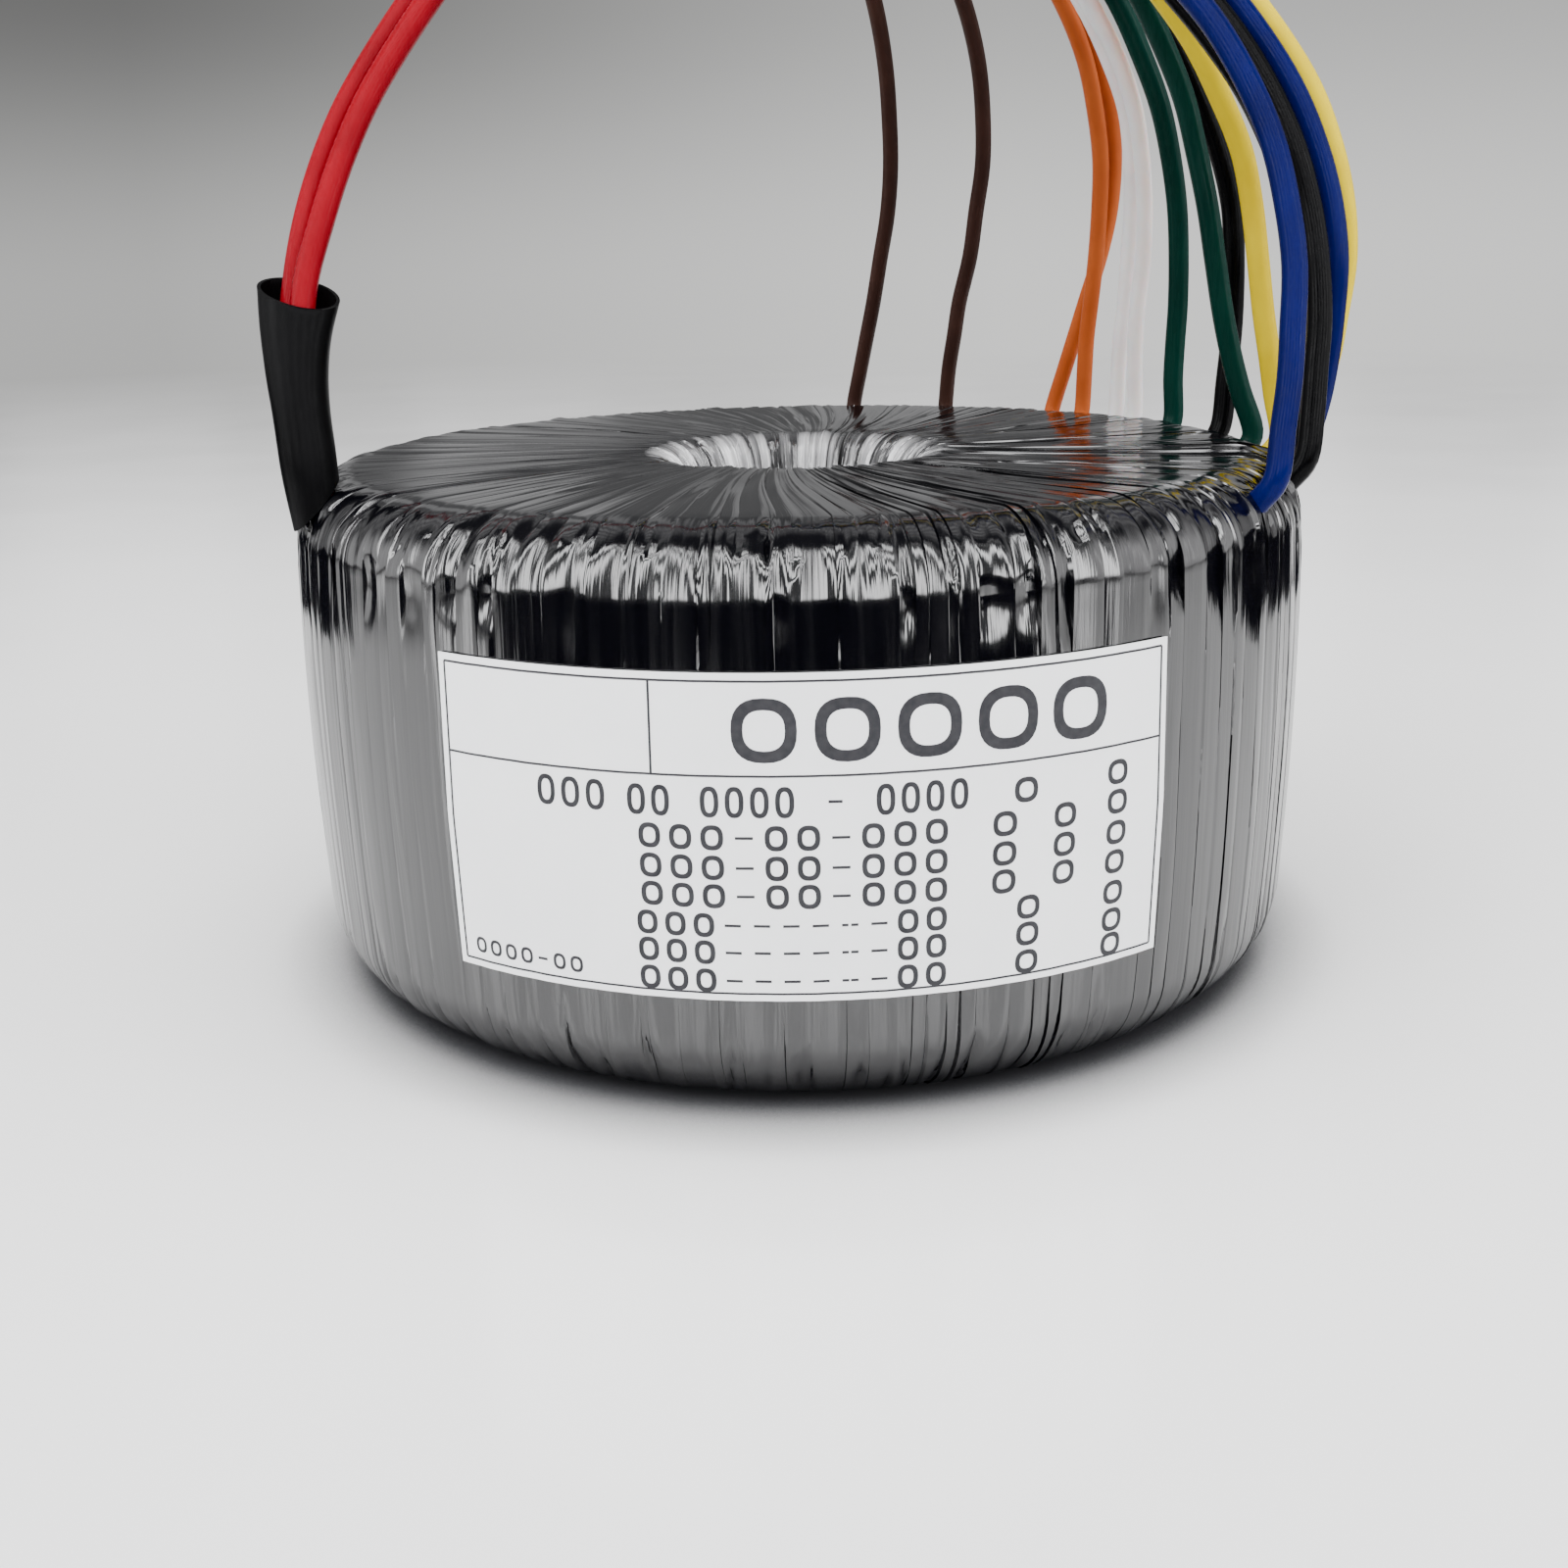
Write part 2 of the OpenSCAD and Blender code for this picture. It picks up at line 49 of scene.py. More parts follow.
CAMERA_PLACE = (-1.68, -353.39, 138.67)
CAMERA_PITCH, CAMERA_YAW, CAMERA_ROLL = 17.526, -0.35, -1.2528
SENSOR_WIDTH, FOCAL_LENGTH = 36, 40.87


def make_camera():
    """The photograph's viewing angle: a little above the ring's top, looking slightly down."""
    pitch, yaw, roll = np.radians((CAMERA_PITCH, CAMERA_YAW, CAMERA_ROLL))
    level_x, level_y = math.sin(yaw), math.cos(yaw)
    ahead = Vector((level_x * math.cos(pitch), level_y * math.cos(pitch), -math.sin(pitch)))
    level = ahead.cross(Vector((0, 0, 1))).normalized()
    over = level.cross(ahead)
    right = math.cos(roll) * level + math.sin(roll) * over
    up = -math.sin(roll) * level + math.cos(roll) * over
    data = bpy.data.cameras.new("camera")
    data.sensor_width = SENSOR_WIDTH
    data.lens = FOCAL_LENGTH
    data.clip_start = 0.01
    camera = bpy.data.objects.new("camera", data)
    COLLECTION.objects.link(camera)
    turn = Matrix((right, up, -ahead)).transposed().to_4x4()
    camera.matrix_world = Matrix.Translation(Vector(CAMERA_PLACE) * MM) @ turn
    bpy.context.scene.camera = camera


make_camera()


# ---------------------------------------------------------------- shader helpers

class Shader:
    """A material with one Principled shader, and short calls for the nodes that feed it."""

    def __init__(self, name, colour, roughness, metallic=0.0, ior=1.5, coat=0.0, subsurface=0.0):
        self.material = bpy.data.materials.new(name)
        self.material.use_nodes = True
        self.nodes = self.material.node_tree.nodes
        self.links = self.material.node_tree.links
        self.bsdf = self.nodes["Principled BSDF"]
        self.set("Base Color", (*colour, 1))
        self.set("Roughness", roughness)
        self.set("Metallic", metallic)
        self.set("IOR", ior)
        self.set("Coat Weight", coat)
        self.set("Subsurface Weight", subsurface)

    def set(self, socket, value):
        self.bsdf.inputs[socket].default_value = value

    def node(self, kind, **values):
        made = self.nodes.new(kind)
        for key, value in values.items():
            if key in made.inputs:
                made.inputs[key].default_value = value
            else:
                setattr(made, key, value)
        return made

    def coordinates(self, stretch, source="Object"):
        where = self.node("ShaderNodeTexCoord")
        mapping = self.node("ShaderNodeMapping")
        mapping.inputs["Scale"].default_value = stretch
        self.links.new(where.outputs[source], mapping.inputs["Vector"])
        return mapping.outputs["Vector"]

    def noise(self, stretch, detail=3.0, source="Object", roughness=0.55):
        texture = self.node("ShaderNodeTexNoise", Detail=detail, Roughness=roughness, Scale=1.0)
        self.links.new(self.coordinates(stretch, source), texture.inputs["Vector"])
        return texture.outputs["Fac"]

    def spread(self, value, low, high, start=0.3, end=0.7):
        """Maps a texture's value between start and end to numbers between low and high."""
        spread = self.node("ShaderNodeMapRange")
        for key, number in (("From Min", start), ("From Max", end), ("To Min", low), ("To Max", high)):
            spread.inputs[key].default_value = number
        self.links.new(value, spread.inputs["Value"])
        return spread.outputs["Result"]

    def blend(self, value, first, second, start=0.3, end=0.7):
        """A colour between first and second as a texture's value goes from start to end."""
        ramp = self.node("ShaderNodeValToRGB")
        ramp.color_ramp.elements[0].position = start
        ramp.color_ramp.elements[0].color = (*first, 1)
        ramp.color_ramp.elements[1].position = end
        ramp.color_ramp.elements[1].color = (*second, 1)
        self.links.new(value, ramp.inputs["Fac"])
        return ramp.outputs["Color"]

    def feed(self, socket, output):
        self.links.new(output, self.bsdf.inputs[socket])

    def bump(self, *heights):
        """Chains bumps, each a texture's value with its depth in metres."""
        last = None
        for value, depth in heights:
            bump = self.node("ShaderNodeBump", Distance=depth, Strength=1.0)
            self.links.new(value, bump.inputs["Height"])
            if last:
                self.links.new(last, bump.inputs["Normal"])
            last = bump.outputs["Normal"]
        self.feed("Normal", last)


# ---------------------------------------------------------------- materials

# How far along a turn from the bore's foot the painted highlight in the bore fades out, in metres.
BORE_PAINTED_HIGHLIGHT_END = (0.086, 0.0925)


def wrap_film():
    """Near-black gloss film; UV runs round the ring in u and along the turn in v, in metres."""
    s = Shader("wrap_film", (0.002, 0.002, 0.004), 0.12, ior=1.72)
    along = s.noise((520, 9, 1), 4, "UV", 0.62)
    fine = s.noise((1500, 16, 1), 3, "UV")
    wide = s.noise((130, 12, 1), 3, "UV")
    # Painted highlight: in the bore the film's colour is lightened to pale grey in streaks, standing
    # in for the bright reflection of its back wall.
    split = s.node("ShaderNodeSeparateXYZ")
    s.links.new(s.coordinates((1, 1, 1), "UV"), split.inputs[0])
    painted_bore_highlight = s.node("ShaderNodeMath", operation="MULTIPLY")
    s.links.new(s.spread(split.outputs["Y"], 1, 0, *BORE_PAINTED_HIGHLIGHT_END), painted_bore_highlight.inputs[0])
    s.links.new(s.spread(s.noise((120, 5, 1), 3, "UV"), 0.05, 1, 0.42, 0.58), painted_bore_highlight.inputs[1])
    s.feed("Base Color", s.blend(painted_bore_highlight.outputs[0], (0.0008, 0.0008, 0.0016),
                                 (0.55, 0.55, 0.56), 0, 1))
    s.feed("Roughness", s.spread(along, 0.06, 0.17))
    s.bump((wide, 0.00022), (along, 0.00007), (fine, 0.00002))
    return s.material


def label_paper():
    s = Shader("label_paper", (0.86, 0.87, 0.88), 0.36, ior=1.3)
    cloud = s.noise((45, 45, 45), 4)
    fibre = s.noise((3000, 3000, 3000), 3)
    s.feed("Base Color", s.blend(cloud, (0.84, 0.85, 0.865), (0.89, 0.90, 0.91)))
    s.feed("Roughness", s.spread(cloud, 0.3, 0.44))
    s.bump((cloud, 0.0003), (fibre, 0.000004))
    return s.material


def label_ink():
    s = Shader("label_ink", (0.02, 0.02, 0.024), 0.45, ior=1.3)
    patchy = s.noise((700, 700, 700), 3)
    s.feed("Base Color", s.blend(patchy, (0.015, 0.015, 0.018), (0.028, 0.028, 0.032)))
    return s.material


def insulation(name, colour, darker, roughness=0.3, subsurface=0.0):
    """Extruded PVC: faint lengthwise drag lines, a clouded surface and small colour changes."""
    s = Shader(name, colour, roughness, ior=1.13, subsurface=subsurface)
    cloud = s.noise((90, 90, 60), 3)
    drag = s.noise((1600, 1600, 60), 3)
    s.feed("Base Color", s.blend(cloud, darker, colour))
    s.feed("Roughness", s.spread(drag, roughness - 0.06, roughness + 0.12))
    s.bump((cloud, 0.0001), (drag, 0.00001))
    return s.material


def sleeve_plastic():
    s = Shader("sleeve_plastic", (0.002, 0.002, 0.002), 0.34, ior=1.11)
    cloud = s.noise((160, 160, 70), 3)
    grain = s.noise((2200, 2200, 900), 3)
    s.feed("Base Color", s.blend(cloud, (0.0006, 0.0006, 0.0008), (0.002, 0.002, 0.0023)))
    s.feed("Roughness", s.spread(cloud, 0.26, 0.4))
    s.bump((cloud, 0.00025), (grain, 0.00001))
    return s.material


def nylon():
    s = Shader("nylon", (0.78, 0.78, 0.74), 0.38, subsurface=0.2)
    s.set("Subsurface Radius", (0.002, 0.002, 0.0018))
    cloud = s.noise((300, 300, 300), 3)
    s.feed("Base Color", s.blend(cloud, (0.72, 0.72, 0.67), (0.82, 0.82, 0.79)))
    s.feed("Roughness", s.spread(cloud, 0.3, 0.46))
    s.bump((cloud, 0.00005))
    return s.material


def tinned_wire():
    s = Shader("tinned_wire", (0.72, 0.72, 0.73), 0.28, metallic=1.0)
    dull = s.noise((900, 900, 400), 4)
    s.feed("Base Color", s.blend(dull, (0.55, 0.55, 0.56), (0.80, 0.80, 0.80)))
    s.feed("Roughness", s.spread(dull, 0.2, 0.42))
    s.bump((dull, 0.00004))
    return s.material


def core_steel():
    """Strip wound on edge: fine rings round the axis on the ends, plain on the walls."""
    s = Shader("core_steel", (0.28, 0.29, 0.31), 0.38, metallic=0.9)
    rings = s.node("ShaderNodeTexWave", Scale=900.0, Distortion=0.4, wave_type="RINGS",
                   rings_direction="Z")
    s.links.new(s.coordinates((1, 1, 1)), rings.inputs["Vector"])
    tint = s.noise((40, 40, 40), 3)
    s.feed("Base Color", s.blend(tint, (0.20, 0.22, 0.26), (0.36, 0.36, 0.36)))
    s.bump((rings.outputs["Fac"], 0.00003))
    return s.material


def enamelled_wire():
    s = Shader("enamelled_wire", (0.48, 0.17, 0.06), 0.24, metallic=0.85, coat=0.6)
    turns = s.noise((700, 700, 30), 2)
    s.feed("Base Color", s.blend(turns, (0.34, 0.10, 0.035), (0.60, 0.25, 0.10)))
    s.bump((turns, 0.0004))
    return s.material


def clear_film():
    s = Shader("clear_film", (0.70, 0.60, 0.32), 0.2, ior=1.64)
    turns = s.noise((220, 220, 18), 3)
    s.feed("Base Color", s.blend(turns, (0.58, 0.47, 0.22), (0.78, 0.70, 0.44)))
    s.bump((turns, 0.0002))
    return s.material


def cap_plastic():
    s = Shader("cap_plastic", (0.76, 0.72, 0.60), 0.5)
    grain = s.noise((700, 700, 700), 3)
    s.feed("Base Color", s.blend(grain, (0.72, 0.68, 0.56), (0.80, 0.76, 0.65)))
    s.bump((grain, 0.00003))
    return s.material


FILM = wrap_film()
PAPER = label_paper()
INK = label_ink()
LEAD_MATERIALS = {
    "red": insulation("lead_red", (0.23, 0.0015, 0.009), (0.17, 0.001, 0.006), 0.24),
    "blue": insulation("lead_blue", (0.001, 0.003, 0.065), (0.001, 0.002, 0.042), 0.22),
    "black": insulation("lead_black", (0.0012, 0.0012, 0.0015), (0.0005, 0.0005, 0.0007), 0.24),
    "yellow": insulation("lead_yellow", (0.62, 0.47, 0.001), (0.52, 0.37, 0.001), 0.32),
    "green": insulation("lead_green", (0.001, 0.024, 0.017), (0.001, 0.016, 0.012), 0.24),
    "white": insulation("lead_white", (0.66, 0.66, 0.68), (0.55, 0.55, 0.58), 0.3, subsurface=0.3),
    "orange": insulation("lead_orange", (0.40, 0.085, 0.018), (0.32, 0.06, 0.012), 0.34),
    "brown": insulation("lead_brown", (0.036, 0.016, 0.012), (0.022, 0.010, 0.008), 0.32)}


# ---------------------------------------------------------------- meshes

def add_mesh(name, points, faces, material, smooth_angle=None):
    mesh = bpy.data.meshes.new(name)
    mesh.from_pydata([tuple(map(float, p)) for p in points], [], faces)
    mesh.materials.append(material)
    mesh.shade_smooth()
    if smooth_angle:
        mesh.set_sharp_from_angle(angle=math.radians(smooth_angle))
    piece = bpy.data.objects.new(name, mesh)
    COLLECTION.objects.link(piece)
    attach(piece, "root")
    return piece


def grid_faces(rows, columns, close_rows, close_columns, start=0):
    """Quads over rows x columns of points, each direction open or closed."""
    faces = []
    for i in range(rows if close_rows else rows - 1):
        for j in range(columns if close_columns else columns - 1):
            i2, j2 = (i + 1) % rows, (j + 1) % columns
            corners = ((i, j), (i, j2), (i2, j2), (i2, j))
            faces.append([start + row * columns + column for row, column in corners])
    return faces


def smooth_line(points, steps):
    """Catmull-Rom curve through the points, with this many steps between each pair."""
    p = np.vstack([2 * points[0] - points[1], points, 2 * points[-1] - points[-2]])
    line = []
    for k in range(1, len(p) - 2):
        for step in range(steps):
            t = step / steps
            line.append(0.5 * (2 * p[k] + (p[k + 1] - p[k - 1]) * t
                               + (2 * p[k - 1] - 5 * p[k] + 4 * p[k + 1] - p[k + 2]) * t ** 2
                               + (3 * p[k] - p[k - 1] - 3 * p[k + 1] + p[k + 2]) * t ** 3))
    line.append(points[-1])
    return np.array(line)


# ---------------------------------------------------------------- leads

MAIN_D, AUX_D = 4.4, 3.6
MAIN_WIRE_D, AUX_WIRE_D = 2.2, 1.6
STRIP_LENGTH = 8
# The leads' routes: x and y at each of these heights, from just inside the wrap to the end of
# the insulation.
LEAD_Z = [91.5, 96, 104, 112, 120, 130, 140, 150, 160, 170, 180, 190, 200, 210, 220,
          230, 240, 250, 259, 268, 278]
ROUTES = {
    "red_a": [(-86.5, -34.5), (-87, -34.5), (-87.5, -33.5), (-88.5, -32), (-89, -30.5),
              (-88, -27.5), (-86, -24.5), (-83, -20.5), (-78.5, -17), (-72.5, -12.5), (-65.5, -8),
              (-57.5, -3), (-49, 2), (-40.5, 6.5), (-32.5, 11), (-24.5, 15), (-18, 18),
              (-13, 20.5), (-10, 22), (-9, 22.5), (-9, 22.5)],
    "red_b": [(-84.5, -39), (-85, -39.5), (-85.5, -38.5), (-86, -37), (-86, -35),
              (-85, -32), (-82, -29), (-78.5, -25.5), (-74, -21.5), (-68, -17), (-61, -12.5),
              (-53.5, -8), (-45.5, -3), (-37.5, 1.5), (-30, 5.5), (-23, 9.5), (-17, 12.5),
              (-12.5, 15), (-10, 16.5), (-9, 17), (-9, 17)],
    "blue_a": [(77.5, -52), (80, -54), (81, -52.5), (82, -51), (82.5, -49),
               (83, -46), (82, -42.5), (80, -38.5), (76, -34.5), (70.5, -29.5), (62.5, -24),
               (54, -18.5), (44, -13), (34, -7.5), (24.5, -2.5), (15.5, 2), (7.5, 5.5),
               (1.5, 8.5), (-1.5, 10), (-3, 11), (-3, 11)],
    "blue_b": [(92, -14.5), (95, -15.5), (97, -16.5), (98, -17), (98.5, -17),
               (98.5, -17), (97, -16), (94, -14.5), (89.5, -12.5), (83, -10), (75, -7),
               (65.5, -4), (55.5, -0.5), (45, 2.5), (35, 5.5), (26, 8), (17.5, 10.5),
               (11.5, 12), (8, 13), (6.5, 13), (6.5, 13)],
    "black_a": [(89, -28), (92, -29), (93, -27.5), (93.5, -26), (94, -24.5),
                (93.5, -22.5), (92, -20), (89, -18), (84.5, -15), (78, -12.5), (69.5, -9.5),
                (60.5, -6.5), (50, -3), (40, 0), (30, 3), (21, 5.5), (13, 7.5),
                (7, 9.5), (3.5, 10.5), (2, 10.5), (2, 10.5)],
    "black_b": [(91, -21), (94, -22), (94, -21), (94, -20), (94, -19),
                (93, -17), (90.5, -15), (87, -12.5), (82, -10), (75, -7), (66.5, -4),
                (57.5, -1), (47.5, 2), (37.5, 5), (27.5, 8), (18.5, 10.5), (11, 12.5),
                (5, 14), (1.5, 15), (0.5, 15.5), (0.5, 15.5)],
    "black_c": [(88.5, 29.5), (90.5, 30), (91, 30), (91.5, 30), (91.5, 29.5),
                (91, 29), (90, 29), (87, 28.5), (82.5, 28), (77, 27.5), (69.5, 27),
                (61, 26.5), (51.5, 26), (41.5, 25.5), (32, 25), (22.5, 24.5), (14.5, 24),
                (8, 23.5), (4.5, 23), (3.5, 23), (3.5, 23)],
    "yellow_a": [(93, 4), (96, 4), (94.5, 4.5), (93, 4.5), (91.5, 5),
                 (90, 5.5), (88.5, 6.5), (86, 7), (81.5, 8), (76, 9), (68.5, 10.5),
                 (60, 11.5), (50.5, 13), (40.5, 14), (31, 15.5), (22.5, 16.5), (14.5, 17),
                 (9, 18), (5.5, 18.5), (4.5, 18.5), (4.5, 18.5)],
    "yellow_b": [(93, -7.5), (96, -8), (98.5, -8.5), (100.5, -9.5), (101.5, -9.5),
                 (102.5, -9), (101.5, -8.5), (99, -7), (95, -5), (88.5, -3), (80.5, -0.5),
                 (71, 2), (60.5, 5), (49.5, 7.5), (39, 10.5), (29, 12.5), (20.5, 15),
                 (14, 16.5), (10.5, 17.5), (9, 17.5), (9, 17.5)],
    "green_a": [(82, 44.5), (83.5, 45.5), (83, 45), (83, 44.5), (83, 43.5),
                (82.5, 42.5), (81.5, 41.5), (79.5, 40.5), (76.5, 39), (72, 38), (66.5, 36.5),
                (59, 35), (50.5, 33.5), (41.5, 32), (33, 30.5), (24.5, 29.5), (17, 28.5),
                (11, 27.5), (7.5, 27), (6.5, 27), (6.5, 27)],
    "green_b": [(92, 15.5), (93.5, 15.5), (90.5, 15.5), (88, 15.5), (86, 15.5),
                (84, 15.5), (82, 15.5), (79.5, 16), (76.5, 16), (72, 16.5), (66.5, 17),
                (59.5, 17.5), (51.5, 18.5), (43, 19), (34.5, 19.5), (26.5, 20.5), (19.5, 21),
                (13.5, 22), (10.5, 22.5), (9, 22.5), (9, 22.5)],
    "white_a": [(72, 59), (73.5, 60), (73.5, 59), (73.5, 57.5), (74, 56.5),
                (74, 54.5), (74, 52.5), (73, 50), (71, 47.5), (66.5, 45), (60.5, 42),
                (52.5, 38.5), (43.5, 35.5), (33.5, 32.5), (23.5, 29.5), (14.5, 27), (6.5, 24.5),
                (0, 23), (-3.5, 22), (-4.5, 21.5), (-4.5, 21.5)],
    "white_b": [(75.5, 55), (77, 56), (76.5, 55), (76, 53.5), (76, 52),
                (76.5, 50.5), (76, 48.5), (74.5, 46), (72, 43.5), (67.5, 41), (61, 38),
                (53.5, 34.5), (44.5, 31.5), (35, 28.5), (25.5, 26), (17, 23.5), (9.5, 22),
                (4, 20.5), (1, 20), (0, 20), (0, 20)],
    "orange_a": [(60, 71.5), (61, 73), (63, 71), (65, 69), (67, 67),
                 (69.5, 64.5), (71, 62), (71, 59.5), (69.5, 56.5), (66, 53.5), (61, 50.5),
                 (54, 47), (46, 44), (37.5, 40.5), (28.5, 37.5), (20, 34.5), (12.5, 32),
                 (6.5, 30), (3, 29), (2, 29), (2, 29)],
    "orange_b": [(66, 66), (67, 67.5), (67, 66), (67, 64.5), (67.5, 63),
                 (68, 61), (68, 58.5), (67.5, 56), (65.5, 53), (62.5, 50), (57.5, 47),
                 (50.5, 43.5), (42.5, 40), (34, 37), (25, 33.5), (17, 30.5), (9.5, 28),
                 (3.5, 26), (0, 25), (-1, 24.5), (-1, 24.5)],
    "brown_a": [(14.5, 92), (15, 94), (16.5, 91.5), (18, 89), (19.5, 86.5),
                (21, 83), (22.5, 79), (23, 75), (22.5, 70.5), (21.5, 66), (19.5, 60.5),
                (16.5, 55.5), (13, 50), (9.5, 44.5), (5.5, 40), (1.5, 35.5), (-1.5, 31.5),
                (-4, 29), (-6, 27), (-6.5, 26.5), (-6.5, 26.5)],
    "brown_b": [(36.5, 86), (37, 87.5), (37.5, 85.5), (38.5, 83), (39.5, 81),
                (41.5, 77.5), (42.5, 74.5), (43.5, 71), (43, 67), (41.5, 62.5), (38.5, 58),
                (34, 53.5), (29, 49), (22.5, 44.5), (16.5, 40), (10.5, 36.5), (5, 33),
                (1, 30.5), (-1.5, 29.5), (-2.5, 29), (-2.5, 29)]}
THIN = ("white", "orange", "brown")


def is_thin(name):
    return name.split("_")[0] in THIN


def lead_points(name):
    return np.array([(x, y, z) for (x, y), z in zip(ROUTES[name], LEAD_Z)])


def make_lead(name):
    """One insulated lead: a round tube along its route, with its ends closed."""
    colour = name.split("_")[0]
    diameter = (AUX_D if is_thin(name) else MAIN_D) * MM
    line = smooth_line(lead_points(name), 5) * MM
    curve = bpy.data.curves.new("insulation_" + name, "CURVE")
    curve.dimensions = "3D"
    curve.bevel_depth = diameter / 2
    curve.bevel_resolution = 4
    curve.use_fill_caps = True
    spline = curve.splines.new("POLY")
    spline.points.add(len(line) - 1)
    for point, place in zip(spline.points, line):
        point.co = (*place, 1)
    spline.use_smooth = True
    curve.materials.append(LEAD_MATERIALS[colour])
    piece = bpy.data.objects.new("insulation_" + name, curve)
    COLLECTION.objects.link(piece)
    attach(piece, "root")
    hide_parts("lead_" + name)
    length = float(np.linalg.norm(np.diff(line, axis=0), axis=1).sum())
    return piece, line, diameter, length


# How far the strands of a bare end turn in each millimetre, in radians, and how it tapers.
TWIST = 0.35
TIP_TAPER = 0.72


def make_wire_ends():
    """Each bare end: seven strands twisted together and dipped in tin."""
    points, faces = [], []
    rows, sides, strands = 9, 28, 7
    for name in ROUTES:
        radius = (AUX_WIRE_D if is_thin(name) else MAIN_WIRE_D) / 2
        x, y, z = lead_points(name)[-1]
        start = len(points)
        for i in range(rows):
            h = STRIP_LENGTH * i / (rows - 1)
            twist = TWIST * h
            tip = TIP_TAPER if i == rows - 1 else 1.0
            for j in range(sides):
                a = TAU * j / sides
                r = radius * tip * (0.93 + 0.07 * math.cos(strands * (a - twist)))
                points.append(((x + r * math.cos(a)) * MM, (y + r * math.sin(a)) * MM, (z + h) * MM))
        faces += grid_faces(rows, sides, False, True, start)
        faces.append([start + j for j in range(sides)][::-1])
        faces.append([start + (rows - 1) * sides + j for j in range(sides)])
    piece = add_mesh("twisted_wire_ends", points, faces, tinned_wire(), 50)
    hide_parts("wire_ends")
    return piece


# Height, half width, half thickness, turn of the wide side in degrees and rise for each
# millimetre along x and y, from the sleeve's base to its mouth.
SLEEVE_SECTIONS = [
    (92.7, 6.2, 4.3, -68, 0.95, 0.4),
    (100.5, 6.2, 4.8, -66, 0.45, 0.2),
    (108, 6.2, 4.9, -62, 0.1, 0.1),
    (115, 6.5, 5.2, -54, -0.05, 0.15),
    (122, 7, 5.6, -42, -0.15, 0.22),
    (128.5, 7.6, 6.2, -30, -0.2, 0.3)]
SLEEVE_T = 0.6
SLEEVE_FOLD = 0.132


def make_sleeve():
    """The sleeve over both primary leads, centred between them and open at its slanted mouth."""
    leads = [lead_points("red_a"), lead_points("red_b")]
    sections = []
    for z, *shape in SLEEVE_SECTIONS:
        middle = [np.mean([np.interp(z, lead[:, 2], lead[:, axis]) for lead in leads])
                  for axis in (0, 1)]
        sections.append((z, *middle, *shape))
    sections = smooth_line(np.array(sections), 6)
    sides = 56

    def ring(s, inset):
        z, x, y, half_w, half_t, turn, rise_x, rise_y = s
        c, d = math.cos(math.radians(turn)), math.sin(math.radians(turn))
        points = []
        for j in range(sides):
            a = TAU * j / sides
            fold = SLEEVE_FOLD * math.sin(3 * a + 0.12 * z)
            u = (half_w - inset + fold) * math.cos(a)
            v = (half_t - inset + fold) * math.sin(a)
            dx, dy = u * c - v * d, u * d + v * c
            points.append(((x + dx) * MM, (y + dy) * MM, (z + rise_x * dx + rise_y * dy) * MM))
        return points

    rings = [ring(s, 0) for s in sections] + [ring(s, SLEEVE_T) for s in sections[::-1]]
    points = [p for one in rings for p in one]
    piece = add_mesh("sleeve", points, grid_faces(len(rings), sides, True, True), sleeve_plastic(), 60)
    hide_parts("primary_sleeve")
    return piece


sleeve = make_sleeve()
wire_ends = make_wire_ends()
# Each lead's insulated tube.
for name in ROUTES:
    piece, line, diameter, length = make_lead(name)


# ---------------------------------------------------------------- film wrap

BORE_R, WALL_R, CROWN_R, BODY_H = 22.0, 96.1, 97.0, 96.0
CREST_R, TOP_SHOULDER_R, BASE_SHOULDER_R = 8.0, 12.0, 15.0
# Half of the label's arc in degrees, and the heights of its lower and upper edges.
LABEL_HALF = 36.3
LABEL_Z = (22.0, 75.0)
# The turns of film that show, and where the columns of points lie across each.
BANDS = 160
BAND_COLUMNS = (0, 0.1, 0.3, 0.5, 0.7, 0.9, 0.99)
# How far the film may sink or stand proud.
DEEPEST, HIGHEST = -1.6, 0.95
# The middle of a lead's raised rim and its width, both from the lead's side.
RIM_OUT, RIM_WIDTH = 1.6, 1.1
# The swirl of the turns from the wall to the bore on the top and the base, in degrees.
SWIRL = 7


def arc(r, z, radius, start, end, count):
    """Points of an arc in the radial plane with their outward normals, its last point left out."""
    angles = np.radians(start + (end - start) * np.arange(count) / count)
    return [(r + radius * math.cos(a), z + radius * math.sin(a), math.cos(a), math.sin(a))
            for a in angles]


def wrap_outline():
    """The section of the wrap with its normals, from the bore's foot up, over and down to it."""
    crown = CROWN_R - WALL_R
    top_z, base_z = BODY_H - TOP_SHOULDER_R, BASE_SHOULDER_R
    outline = [(BORE_R, z, -1, 0) for z in np.linspace(CREST_R, BODY_H - CREST_R, 7)[:-1]]
    outline += arc(BORE_R + CREST_R, BODY_H - CREST_R, CREST_R, 180, 90, 8)
    outline += [(r, BODY_H, 0, 1)
                for r in np.linspace(BORE_R + CREST_R, WALL_R - TOP_SHOULDER_R, 11)[:-1]]
    outline += arc(WALL_R - TOP_SHOULDER_R, top_z, TOP_SHOULDER_R, 90, 0, 18)
    # The rows of points lie closer above the label than behind it.
    close_z = 66
    for z in np.concatenate([np.linspace(top_z, close_z, 9)[:-1],
                             np.linspace(close_z, base_z, 10)[:-1]]):
        height = (z - (top_z + base_z) / 2) / ((top_z - base_z) / 2)
        outline.append((WALL_R + crown * (1 - height ** 2), z, 1, 0))
    outline += arc(WALL_R - BASE_SHOULDER_R, base_z, BASE_SHOULDER_R, 0, -90, 12)
    outline += [(r, 0, 0, -1)
                for r in np.linspace(WALL_R - BASE_SHOULDER_R, BORE_R + CREST_R, 3)[:-1]]
    outline += arc(BORE_R + CREST_R, CREST_R, CREST_R, -90, -180, 5)
    return np.array(outline)


def rise(x, start, end):
    """0 up to start, 1 from end on, and smooth between them."""
    t = np.clip((x - start) / (end - start), 0, 1)
    return t * t * (3 - 2 * t)


